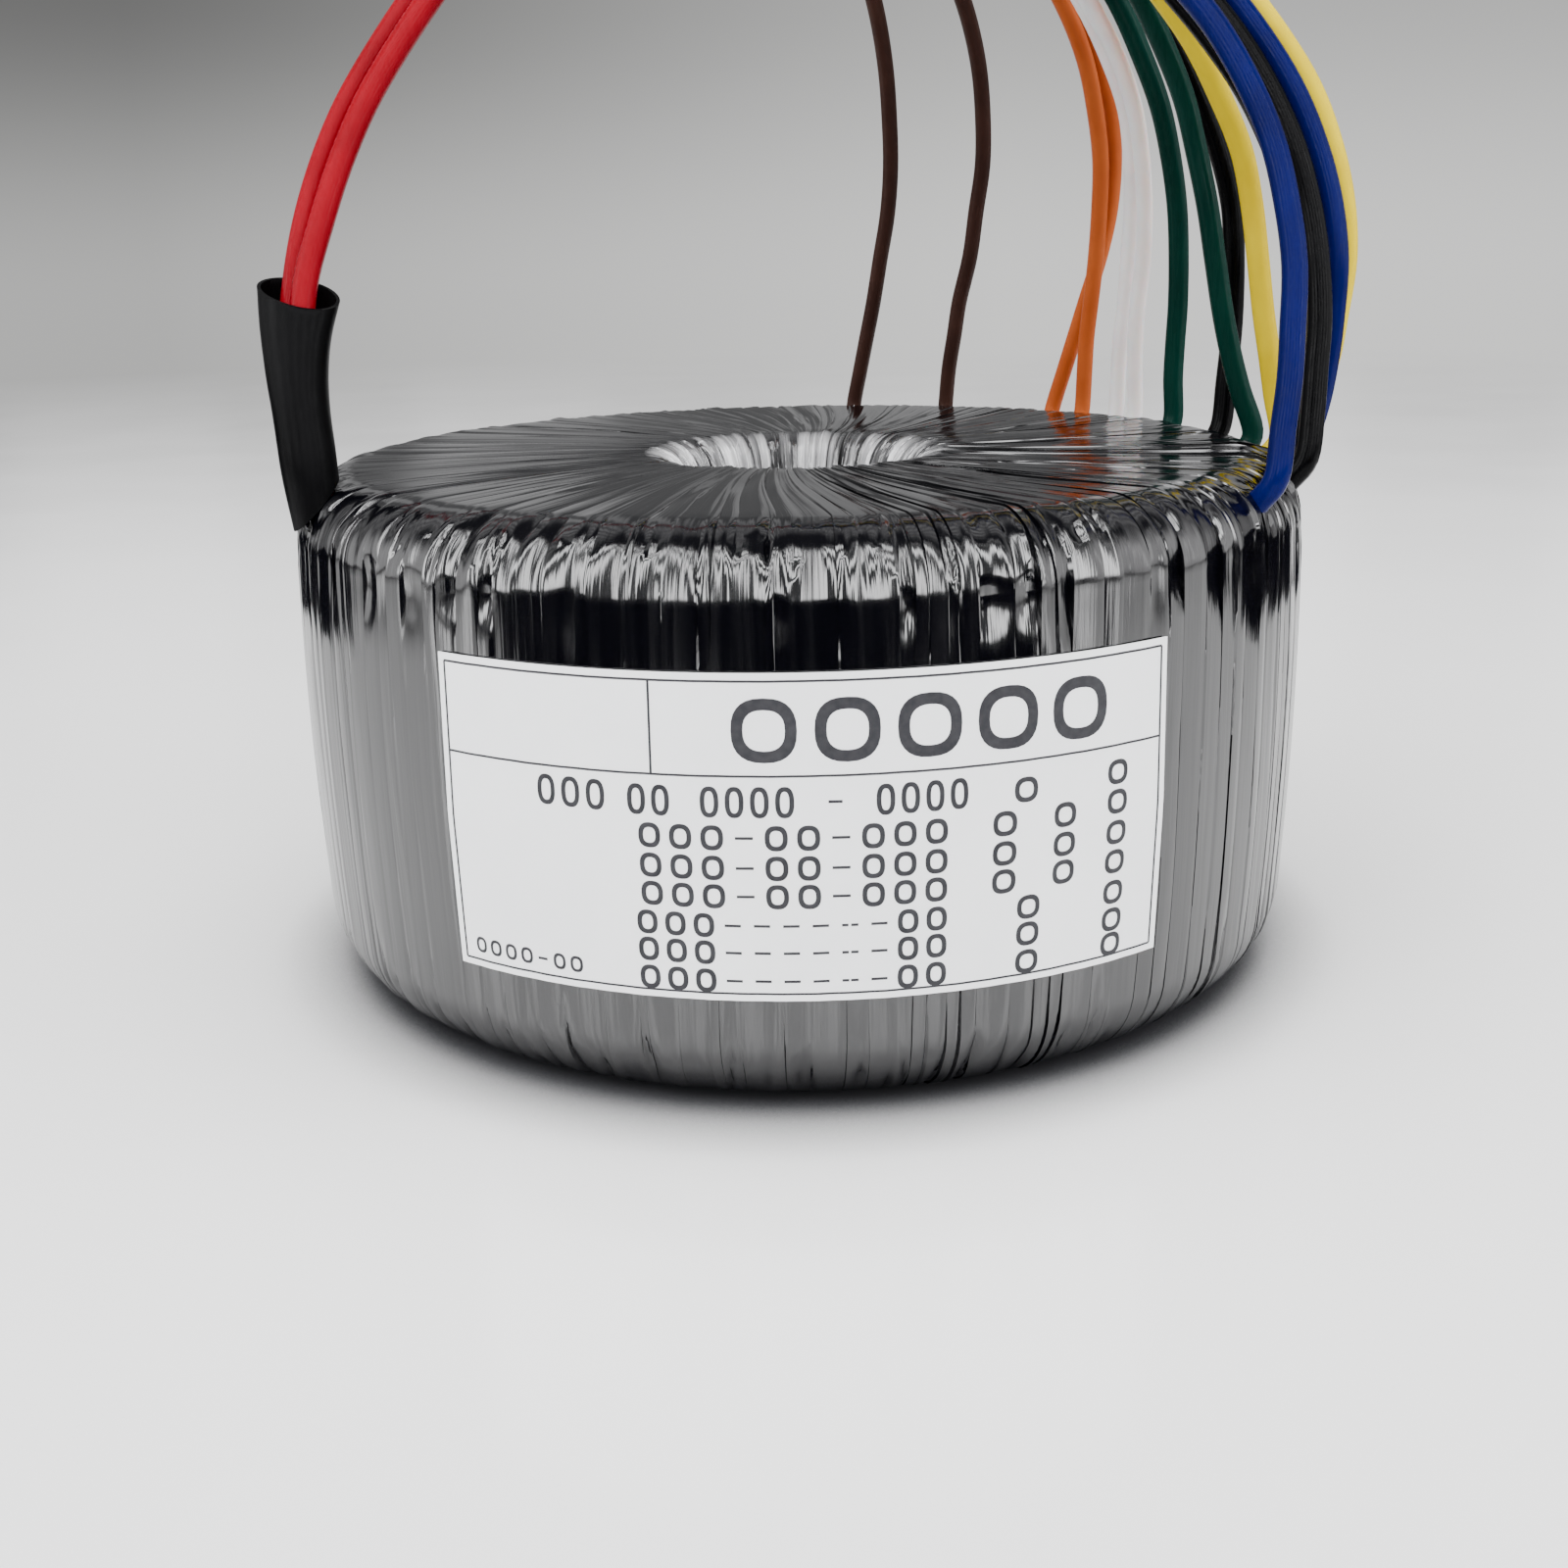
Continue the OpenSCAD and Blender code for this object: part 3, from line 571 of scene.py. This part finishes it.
def make_wrap():
    """Overlapping turns of film round the whole ring, with their steps, pleats and slack."""
    rng = np.random.default_rng(7)
    outline = wrap_outline()
    r, z, nr, nz = outline.T
    steps = np.hypot(np.diff(r), np.diff(z))
    s = np.concatenate([[0], np.cumsum(steps)])
    in_bore = r < BORE_R + 0.01
    on_top = (nz > 0.999) & (r > BORE_R + CREST_R - 0.01)
    shoulder = (z >= BODY_H - TOP_SHOULDER_R) & (r > WALL_R - TOP_SHOULDER_R - 0.01)
    s_shoulder = s[shoulder][0]
    s_wall = s[(nr > 0.999) & (r > WALL_R - 1)][0]
    s_foot = s[(z < BASE_SHOULDER_R - 0.01) & (r > WALL_R - BASE_SHOULDER_R)][0]
    s_base = s[(z < 0.01) & (nz < -0.99)][0]
    s_crest = s[in_bore][-1] + 0.3 * math.pi / 2 * CREST_R
    rows = len(r)

    # The visible width of each turn, and where its edge lies on the way round.
    widths = rng.uniform(0.35, 1.8, BANDS)
    edges = np.concatenate([[0], np.cumsum(widths)]) / widths.sum() * TAU
    lifts = rng.uniform(0.08, 0.45, BANDS)
    turned = rng.uniform(0, 1, BANDS) < 0.45
    bulges = rng.uniform(-0.06, 0.12, BANDS)
    corner_cut = rng.uniform(0.0, 1.0, BANDS) ** 2 * 1.5
    cut_length = rng.uniform(2.5, 8.5, BANDS)
    cut_at = rng.uniform(0, 1, BANDS)
    crest_cut = rng.uniform(0.1, 1.3, BANDS)
    wander = [rng.uniform(-1, 1, (BANDS, 4)), rng.uniform(0, TAU, (BANDS, 4))]

    def along(i, scale):
        """A slow variation along turn i, between about -1 and 1."""
        size, phase = wander[0][i], wander[1][i]
        return sum(size[k] * np.sin(s / scale * (k + 1) + phase[k]) for k in range(4)) / 2

    plain = rise(s, s_wall, s_wall + 14) * (1 - rise(s, s_foot - 10, s_foot))
    theta, height, column_band = [], [], []
    for i in range(BANDS):
        pitch = edges[i + 1] - edges[i]
        step = lifts[i] * (0.65 + 0.35 * along(i, 40)) * (1 - 0.4 * plain)
        slack = bulges[i] * (0.6 + 0.4 * along(i, 26))
        below_corner = np.where(s < s_wall, (s_wall - s) / 4.0, (s - s_wall) / cut_length[i])
        cut = corner_cut[i] * np.exp(-below_corner ** 2) * (s > s_shoulder)
        crest = crest_cut[i] * np.exp(-((s - s_crest) / 4.5) ** 2)
        for u in BAND_COLUMNS:
            theta.append(edges[i] + u * pitch)
            over = u if turned[i] else 1 - u
            bow = 4 * u * (1 - u)
            groove = 0.16 * math.exp(-((1 - u) / 0.09) ** 2)
            slant = 1.1 - abs(u - cut_at[i])
            height.append(0.1 + step * over ** 1.2 + slack * bow - groove * (1 - 0.6 * plain)
                          - cut * slant - crest * (0.4 + bow))
            column_band.append(i)
    theta = np.array(theta)
    height = np.array(height)
    columns = len(theta)

    # Pleats: narrow folds gathered at the shoulder, the foot, the bore and over the top.
    def pleats(count, s_from, s_to, width, depth):
        nonlocal height
        for _ in range(count):
            centre = rng.uniform(0, TAU)
            start = rng.uniform(*s_from)
            end = rng.uniform(*s_to)
            w = rng.uniform(*width)
            a = rng.uniform(*depth)
            lean = rng.uniform(-0.12, 0.12)
            middle = (start + end) / 2
            away = (theta[:, None] - centre + math.pi) % TAU - math.pi
            around = away * np.maximum(r, 30)[None, :] + lean * (s - middle)[None, :]
            reach = end - start
            window = rise(s, start, start + 0.35 * reach) * (1 - rise(s, end - 0.5 * reach, end))
            narrow = w * (0.35 + 0.65 * window)[None, :]
            height = height + a * window[None, :] * np.exp(-(around / narrow) ** 2)

    s_top = s[on_top][0]
    pleats(300, (s_shoulder - 5, s_shoulder + 6), (s_wall - 4, s_wall + 5),
           width=(0.4, 1.1), depth=(-0.5, 0.45))
    pleats(300, (s_shoulder - 2, s_shoulder + 8), (s_shoulder + 10, s_wall + 2),
           width=(0.35, 0.7), depth=(-0.55, 0.3))
    pleats(120, (s_wall, s_wall + 20), (s_wall + 30, s_foot),
           width=(0.3, 0.6), depth=(-0.16, 0.12))
    pleats(240, (s_foot - 8, s_foot + 8), (s_foot + 9, s_base + 2),
           width=(0.35, 0.8), depth=(-0.9, 0.1))
    pleats(200, (s_crest - 30, s_crest - 8), (s_top + 2, s_top + 16),
           width=(0.4, 1.0), depth=(-0.6, 0.5))
    pleats(170, (s_top, s_top + 15), (s_shoulder - 20, s_shoulder + 2),
           width=(0.4, 1.3), depth=(-0.3, 0.3))

    # Under the label the film is pressed flat.
    facing = (theta + math.pi / 2 + math.pi) % TAU - math.pi
    beside = rise(np.abs(facing), *np.radians((LABEL_HALF + 0.3, LABEL_HALF + 2.2)))[:, None]
    above = np.maximum(rise(z, LABEL_Z[1] + 0.5, LABEL_Z[1] + 3),
                       1 - rise(z, LABEL_Z[0] - 2.5, LABEL_Z[0] - 0.5))[None, :]
    free = np.maximum(beside, above) * np.ones_like(height)
    on_wall = (r > WALL_R - 5)[None, :]
    height = np.where(on_wall, height * free + (1 - free) * np.clip(height, 0, 0.5), height)
    height = np.clip(height, DEEPEST, HIGHEST)

    # Each lead leaves through a small pit with a raised rim of film.
    x0 = r[None, :] * np.cos(theta)[:, None]
    y0 = r[None, :] * np.sin(theta)[:, None]
    near_top = (z > 80)[None, :]
    for name in ROUTES:
        foot = lead_points(name)
        radius = (AUX_D if is_thin(name) else MAIN_D) / 2
        rim = foot[0] + (foot[1] - foot[0]) * 0.7
        gap = np.sqrt((x0 - rim[0]) ** 2 + (y0 - rim[1]) ** 2 + (z[None, :] - rim[2] + 0.5) ** 2)
        ridge = 0.7 * np.exp(-((gap - radius - RIM_OUT) / RIM_WIDTH) ** 2)
        pit = DEEPEST * (1 - rise(gap, radius + 0.1, radius + 1.1))
        height = height + (ridge + pit) * near_top

    # The turns swirl on the top and the base, and their edges wander a little.
    swirl = -math.radians(SWIRL) * np.clip((84 - r) / 54, 0, 1) ** 1.2
    drift = np.array([along(i, 30) for i in column_band]) * 0.10 * (TAU / BANDS)
    angle = theta[:, None] + swirl[None, :] + drift
    radial = r[None, :] + nr[None, :] * height
    level = np.maximum(z[None, :] + nz[None, :] * height, 0)
    points = np.stack([radial * np.cos(angle), radial * np.sin(angle), level], axis=-1) * MM
    faces = [f[::-1] for f in grid_faces(columns, rows, True, True)]
    piece = add_mesh("film_turns", points.reshape(-1, 3), faces, FILM, 32)

    # u runs round the ring and v along the turn, both in metres.
    uv = piece.data.uv_layers.new(name="turns")
    u_of, v_of = theta * WALL_R * MM, s * MM
    vertex = np.zeros(len(piece.data.loops), dtype=np.int32)
    piece.data.loops.foreach_get("vertex_index", vertex)
    column, row = vertex // rows, vertex % rows
    pairs = np.stack([u_of[column], v_of[row]], axis=-1).astype(np.float32)
    uv.data.foreach_set("uv", pairs.ravel())
    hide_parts("outer_wrap")


make_wrap()


# ---------------------------------------------------------------- label

LABEL_T = 0.25
# The label's back stands off the wall, clear of the highest turn.
STAND = 0.8
PRINT_T = 0.03


def wall_at(z):
    """Radius of the label's back at height z."""
    knots = [(BASE_SHOULDER_R, WALL_R), (BODY_H / 2, CROWN_R), (BODY_H - TOP_SHOULDER_R, WALL_R)]
    return np.interp(z, *zip(*knots)) + STAND


def wave(degrees, z):
    """How far the film's turns show through the label, in millimetres."""
    return 0.035 * math.sin(degrees * 1.9 + 0.02 * z) + 0.03 * math.sin(degrees * 0.83 + 1 + 0.05 * z)


def on_label(degrees, z, out):
    """A point over the label's back, degrees to the right of its middle and out proud."""
    radius = wall_at(z) + out + wave(degrees, z) * (out > 0)
    a = math.radians(degrees - 90)
    return (radius * math.cos(a) * MM, radius * math.sin(a) * MM, z * MM)


def make_label():
    columns, rows = 97, 25
    points = []
    for out in (LABEL_T, 0.0):
        for i in range(rows):
            z = LABEL_Z[0] + (LABEL_Z[1] - LABEL_Z[0]) * i / (rows - 1)
            for j in range(columns):
                points.append(on_label(LABEL_HALF * (2 * j / (columns - 1) - 1), z, out))
    count = rows * columns
    front = grid_faces(rows, columns, False, False)
    back = [f[::-1] for f in grid_faces(rows, columns, False, False, count)]
    rim = list(range(columns)) + [i * columns + columns - 1 for i in range(1, rows)]
    rim += [(rows - 1) * columns + j for j in range(columns - 2, -1, -1)]
    rim += [i * columns for i in range(rows - 2, 0, -1)]
    sides = [[b, b + count, a + count, a] for a, b in zip(rim, rim[1:] + rim[:1])]
    piece = add_mesh("label_sheet", points, front + back + sides, PAPER, 40)
    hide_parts("label")


class Print:
    """Flat marks on the label, all in one mesh. Sideways sizes are in degrees, heights in mm."""

    PROUD = LABEL_T + PRINT_T

    def __init__(self):
        self.points, self.faces = [], []

    def mark(self, left, right, low, high):
        columns = max(2, int((right - left) / 0.8) + 1)
        rows = max(2, int((high - low) / 3) + 1)
        start = len(self.points)
        for i in range(rows):
            for j in range(columns):
                self.points.append(on_label(left + (right - left) * j / (columns - 1),
                                            low + (high - low) * i / (rows - 1), self.PROUD))
        self.faces += grid_faces(rows, columns, False, False, start)

    def zero(self, at, middle, width, height, stroke):
        """A plain nought: an oval ring with the middle of its stroke on the given size."""
        around, start = 28, len(self.points)
        per_degree = math.radians(wall_at(middle))
        for grow in (-stroke / 2, stroke / 2):
            for k in range(around):
                a = TAU * k / around
                c, d = math.cos(a), math.sin(a)
                x = math.copysign(abs(c) ** 0.8, c) * (width / 2 + grow / per_degree)
                y = math.copysign(abs(d) ** 0.8, d) * (height / 2 + grow)
                self.points.append(on_label(at + x, middle + y, self.PROUD))
        self.faces += [f[::-1] for f in grid_faces(2, around, False, True, start)]

    def row(self, left, middle, pattern, height=3.3, pitch=2.5, stroke=0.78):
        """Noughts and dashes in a row; a space in the pattern leaves a gap."""
        for k, sign in enumerate(pattern):
            at = left + (k + 0.5) * pitch
            if sign == "0":
                self.zero(at, middle, pitch * 0.56, height, stroke)
            elif sign == "-":
                self.mark(at - pitch * 0.28, at + pitch * 0.28, middle - 0.22, middle + 0.22)


def make_print():
    p = Print()
    inset_degrees, inset, line_t, line_degrees = 0.75, 1.25, 0.35, 0.22
    left, right = -LABEL_HALF + inset_degrees, LABEL_HALF - inset_degrees
    low, high = LABEL_Z[0] + inset, LABEL_Z[1] - inset
    header, divider = 59.1, -13.9
    for z in (low, high, header):
        p.mark(left, right, z - line_t / 2, z + line_t / 2)
    for at in (left, right):
        p.mark(at - line_degrees / 2, at + line_degrees / 2, low, high)
    p.mark(divider - line_degrees / 2, divider + line_degrees / 2, header, high)

    # Header: a row of plain zeros on the right; the left cell stays bare.
    for k in range(5):
        p.zero(-3.6 + 7.4 * k, 66.2, 4.8, 8.2, 1.8)

    # Body: rows of noughts and dashes, with three columns of noughts beside them.
    p.row(-25.6, 55.2, "000", height=4.2, pitch=2.5, stroke=0.75)
    p.row(-16.5, 55.0, "00 0000 - 0000", height=4.2, pitch=2.25, stroke=0.75)
    for z in (49.3, 44.4, 39.7):
        p.row(-15.7, z, "000-00-000", pitch=2.89)
        p.zero(18.3, z, 1.9, 3.3, 0.8)
        p.zero(24.5, z, 1.9, 3.3, 0.8)
    for z in (34.8, 30.2, 25.4):
        p.row(-16.2, z, "000------00", pitch=2.67)
        p.zero(20.9, z, 1.9, 3.3, 0.8)
    p.zero(20.4, 54.4, 1.9, 3.3, 0.8)
    for z in (54.7, 49.8, 44.6, 39.6, 34.3, 29.5, 25.2):
        p.zero(30.4, z, 1.9, 3.3, 0.8)
    p.row(-34.4, 26.0, "0000-00", height=2.3, pitch=1.85, stroke=0.5)
    piece = add_mesh("label_print", p.points, p.faces, INK)


make_label()
make_print()


# ---------------------------------------------------------------- the solids left as they are

STEEL, WIRE, CLEAR, CAP, NYLON = core_steel(), enamelled_wire(), clear_film(), cap_plastic(), nylon()
INNER = {
    "core": STEEL, "core_cap_top": CAP, "core_cap_bottom": CAP, "core_tape": CLEAR,
    "primary_winding": WIRE, "primary_film": CLEAR,
    "secondary_blue": WIRE, "secondary_blue_film": CLEAR,
    "secondary_yellow": WIRE, "secondary_yellow_film": CLEAR,
    "aux_green_winding": WIRE, "aux_white_winding": WIRE,
    "aux_brown_winding": WIRE, "aux_orange_winding": WIRE,
    "lead_tie": NYLON}
for node, material in INNER.items():
    NODES[node].data.materials.clear()
    NODES[node].data.materials.append(material)


# ---------------------------------------------------------------- floor, flags and light

# The backdrop's grey, and the painted shade that darkens it to the left: over this span of x for each
# unit of depth, its strength goes from one end of the left-to-right range to the other.
BACKGROUND = (0.85, 0.85, 0.84)
PAINTED_SHADE_LEFT_TO_RIGHT = (0.64, 1.12)
PAINTED_SHADE_SPAN = (-0.34, 0.12)
CAMERA_BACK = 0.35
FLOOR_R, FLOOR_SIDES = 4.0, 64
# Painted contact shadow: the floor's colour darkens this near to the object, in metres.
PAINTED_SHADOW_REACH = 0.022
# The floor passes into a glow of the backdrop's grey, with its painted shade, over this many metres
# from the object.
FLOOR_FADE = (0.5, 1.7)
FLAG_Z, FLAG_STEPS = 0.0006, 13
# Reflections see panes in front and slats behind: how closely they stand, and their strength.
PANES, PANE_GLOW = 13.0, 13.0
SLATS, SLAT_GLOW = 31.0, 0.29
# What else lights the object: soft light from the front, from behind, at the sides, all round.
FRONT_SOFT, BACK_SOFT, SIDE_GLOW, ROUND_GLOW = 2.2, 0.3, 2.2, 0.08


def make_floor():
    """A pale glossy floor with a painted contact shadow near the object, that passes away from it into
    a glow of the backdrop's grey with its painted shade.
    """
    s = Shader("floor", (0.80, 0.80, 0.80), 0.16, ior=1.45)
    s.feed("Roughness", s.spread(s.noise((9, 9, 9), 2), 0.13, 0.2))
    # Painted contact shadow: ambient occlusion darkens the floor's colour near the object.
    painted_contact_shadow = s.node("ShaderNodeAmbientOcclusion", Distance=PAINTED_SHADOW_REACH, samples=8)
    s.feed("Base Color", s.blend(painted_contact_shadow.outputs["AO"], (0.05, 0.05, 0.055),
                                 (0.84, 0.84, 0.84), 0.3, 0.9))
    where = s.node("ShaderNodeTexCoord")
    away = s.node("ShaderNodeVectorMath", operation="LENGTH")
    s.links.new(where.outputs["Object"], away.inputs[0])
    far_painted_glow = s.spread(away.outputs["Value"], 0, 1, *FLOOR_FADE)
    split = s.node("ShaderNodeSeparateXYZ")
    s.links.new(where.outputs["Object"], split.inputs[0])
    depth = s.node("ShaderNodeMath", operation="ADD")
    depth.inputs[1].default_value = CAMERA_BACK
    s.links.new(split.outputs["Y"], depth.inputs[0])
    left = s.node("ShaderNodeMath", operation="DIVIDE")
    s.links.new(split.outputs["X"], left.inputs[0])
    s.links.new(depth.outputs[0], left.inputs[1])
    # Away from the object the floor glows as the backdrop, with painted shade darker to the left.
    glow = s.node("ShaderNodeEmission")
    glow.inputs["Color"].default_value = (*BACKGROUND, 1)
    s.links.new(s.spread(left.outputs[0], *PAINTED_SHADE_LEFT_TO_RIGHT, *PAINTED_SHADE_SPAN), glow.inputs["Strength"])
    mix = s.node("ShaderNodeMixShader")
    s.links.new(far_painted_glow, mix.inputs["Fac"])
    s.links.new(s.bsdf.outputs[0], mix.inputs[1])
    s.links.new(glow.outputs[0], mix.inputs[2])
    s.links.new(mix.outputs[0], s.nodes["Material Output"].inputs["Surface"])
    mesh = bpy.data.meshes.new("floor")
    angles = [TAU * k / FLOOR_SIDES for k in range(FLOOR_SIDES)]
    ring = [(FLOOR_R * math.cos(a), FLOOR_R * math.sin(a), 0) for a in angles]
    mesh.from_pydata(ring, [], [list(range(FLOOR_SIDES))])
    mesh.materials.append(s.material)
    floor = bpy.data.objects.new("floor", mesh)
    COLLECTION.objects.link(floor)


def make_flag(name, from_degrees, to_degrees, inner, outer):
    """A dark card just over the floor, seen only by reflection from above: a painted dark reflection
    standing in for the unlit room.
    """
    flag_material = bpy.data.materials.new(name)
    flag_material.use_nodes = True
    nodes, links = flag_material.node_tree.nodes, flag_material.node_tree.links
    nodes.clear()
    out = nodes.new("ShaderNodeOutputMaterial")
    painted_dark_reflection = nodes.new("ShaderNodeEmission")
    painted_dark_reflection.inputs["Color"].default_value = (0.012, 0.012, 0.016, 1)
    clear = nodes.new("ShaderNodeBsdfTransparent")
    side = nodes.new("ShaderNodeNewGeometry")
    mix = nodes.new("ShaderNodeMixShader")
    links.new(side.outputs["Backfacing"], mix.inputs["Fac"])
    links.new(painted_dark_reflection.outputs[0], mix.inputs[1])
    links.new(clear.outputs[0], mix.inputs[2])
    links.new(mix.outputs[0], out.inputs["Surface"])
    angles = np.radians(np.linspace(from_degrees, to_degrees, FLAG_STEPS) - 90)
    points = [(r * math.cos(a), r * math.sin(a), FLAG_Z) for r in (inner, outer) for a in angles]
    mesh = bpy.data.meshes.new(name)
    mesh.from_pydata(points, [], [f[::-1] for f in grid_faces(2, FLAG_STEPS, False, False)])
    mesh.materials.append(flag_material)
    flag = bpy.data.objects.new(name, mesh)
    COLLECTION.objects.link(flag)
    flag.visible_camera = False
    flag.visible_diffuse = False
    flag.visible_shadow = False
    flag.visible_transmission = False


def make_world():
    """Grey surroundings, seen straight on with painted shade darker to the left and towards the top.
    Reflections see a ring of bright panes in front and faint slats behind.
    """
    world = bpy.data.worlds.new("world")
    bpy.context.scene.world = world
    world.use_nodes = True
    nodes, links = world.node_tree.nodes, world.node_tree.links

    def math_node(operation, *values):
        made = nodes.new("ShaderNodeMath")
        made.operation = operation
        for k, value in enumerate(values):
            if isinstance(value, (int, float)):
                made.inputs[k].default_value = value
            else:
                links.new(value, made.inputs[k])
        return made.outputs[0]

    def ramp(value, start, end, low=0.0, high=1.0):
        made = nodes.new("ShaderNodeMapRange")
        made.interpolation_type = "SMOOTHSTEP"
        links.new(value, made.inputs["Value"])
        for key, number in (("From Min", start), ("From Max", end), ("To Min", low), ("To Max", high)):
            made.inputs[key].default_value = number
        return made.outputs["Result"]

    def product(*values):
        return functools.reduce(lambda one, other: math_node("MULTIPLY", one, other), values)

    def total(*values):
        return functools.reduce(lambda one, other: math_node("ADD", one, other), values)

    where = nodes.new("ShaderNodeTexCoord")
    split = nodes.new("ShaderNodeSeparateXYZ")
    links.new(where.outputs["Generated"], split.inputs[0])
    x, y, z = split.outputs
    level = math_node("SQRT", total(product(x, x), product(y, y)))
    front = math_node("DIVIDE", product(y, -1.0), level)
    around = math_node("ARCTAN2", x, product(y, -1.0))

    box = product(ramp(front, 0.0, 0.3), ramp(z, 0.03, 0.09), ramp(z, 0.95, 0.995, 1.0, 0.0))
    panes = ramp(math_node("SINE", product(around, PANES)), 0.05, 0.5, 0.03)
    back = product(ramp(front, -0.55, -0.15, 1.0, 0.0), ramp(z, 0.9, 0.97, 1.0, 0.0),
                   ramp(z, 0.35, 0.75, 1.0, 2.0))
    slats = product(ramp(math_node("SINE", product(around, SLATS)), -0.5, 0.5, 0.3),
                    ramp(math_node("ABSOLUTE", x), 0.02, 0.25, 1.0, 1.8))
    side = product(ramp(math_node("ABSOLUTE", front), 0.2, 0.5, 1.0, 0.0),
                   ramp(z, 0.35, 0.75, 1.0, 0.0))
    reflected = total(product(box, panes, PANE_GLOW), product(back, slats, SLAT_GLOW))
    soft = total(product(box, FRONT_SOFT), product(back, BACK_SOFT))
    path = nodes.new("ShaderNodeLightPath")
    glossy = path.outputs["Is Glossy Ray"]
    glow = total(product(glossy, reflected), product(math_node("SUBTRACT", 1.0, glossy), soft),
                 product(side, SIDE_GLOW), ROUND_GLOW)
    lit = nodes.new("ShaderNodeBackground")
    lit.inputs["Color"].default_value = (1, 1, 1.01, 1)
    links.new(glow, lit.inputs["Strength"])

    # What the camera sees behind: the backdrop's grey with painted shade, darker to the left and
    # towards the top.
    plain = nodes.new("ShaderNodeBackground")
    plain.inputs["Color"].default_value = (*BACKGROUND, 1)
    sideways = math_node("DIVIDE", x, y)
    painted_shade_to_left = nodes.new("ShaderNodeMapRange")
    links.new(sideways, painted_shade_to_left.inputs["Value"])
    for key, number in zip(("From Min", "From Max", "To Min", "To Max"),
                           (*PAINTED_SHADE_SPAN, *PAINTED_SHADE_LEFT_TO_RIGHT)):
        painted_shade_to_left.inputs[key].default_value = number
    painted_shade_high_left = product(ramp(sideways, *PAINTED_SHADE_SPAN, 1.0, 0.0), ramp(z, -0.03, 0.12, 0.0, 0.45))
    strength = product(painted_shade_to_left.outputs["Result"], ramp(z, -0.035, 0.13, 1.0, 0.55),
                       math_node("SUBTRACT", 1.0, painted_shade_high_left))
    links.new(strength, plain.inputs["Strength"])
    mix = nodes.new("ShaderNodeMixShader")
    links.new(path.outputs["Is Camera Ray"], mix.inputs["Fac"])
    links.new(lit.outputs[0], mix.inputs[1])
    links.new(plain.outputs[0], mix.inputs[2])
    links.new(mix.outputs[0], nodes["World Output"].inputs["Surface"])


def make_light(name, place, target, size, watts):
    data = bpy.data.lights.new(name, "AREA")
    data.shape = "RECTANGLE"
    data.size, data.size_y = size
    data.energy = watts
    light = bpy.data.objects.new(name, data)
    COLLECTION.objects.link(light)
    light.location = place
    light.visible_glossy = False
    light.rotation_euler = (Vector(target) - Vector(place)).to_track_quat("-Z", "Y").to_euler()


make_floor()
# Painted dark reflections: dark cards standing in for the unlit room in front and to the sides, seen
# only in reflections.
make_flag("flag_front", -56, 56, 0.40, 3.5)
make_flag("flag_left", -140, -104, 0.42, 3.5)
make_flag("flag_right", 104, 140, 0.42, 3.5)
make_world()
make_light("top_light", (0, 0.15, 1.1), (0, 0.15, 0), (1.3, 0.9), 20)
make_light("key_light", (-0.35, -0.75, 1.0), (0, 0, 0.1), (0.9, 0.6), 11)
make_light("side_light", (1.1, -0.2, 0.6), (0, 0, 0.1), (0.5, 0.8), 5)
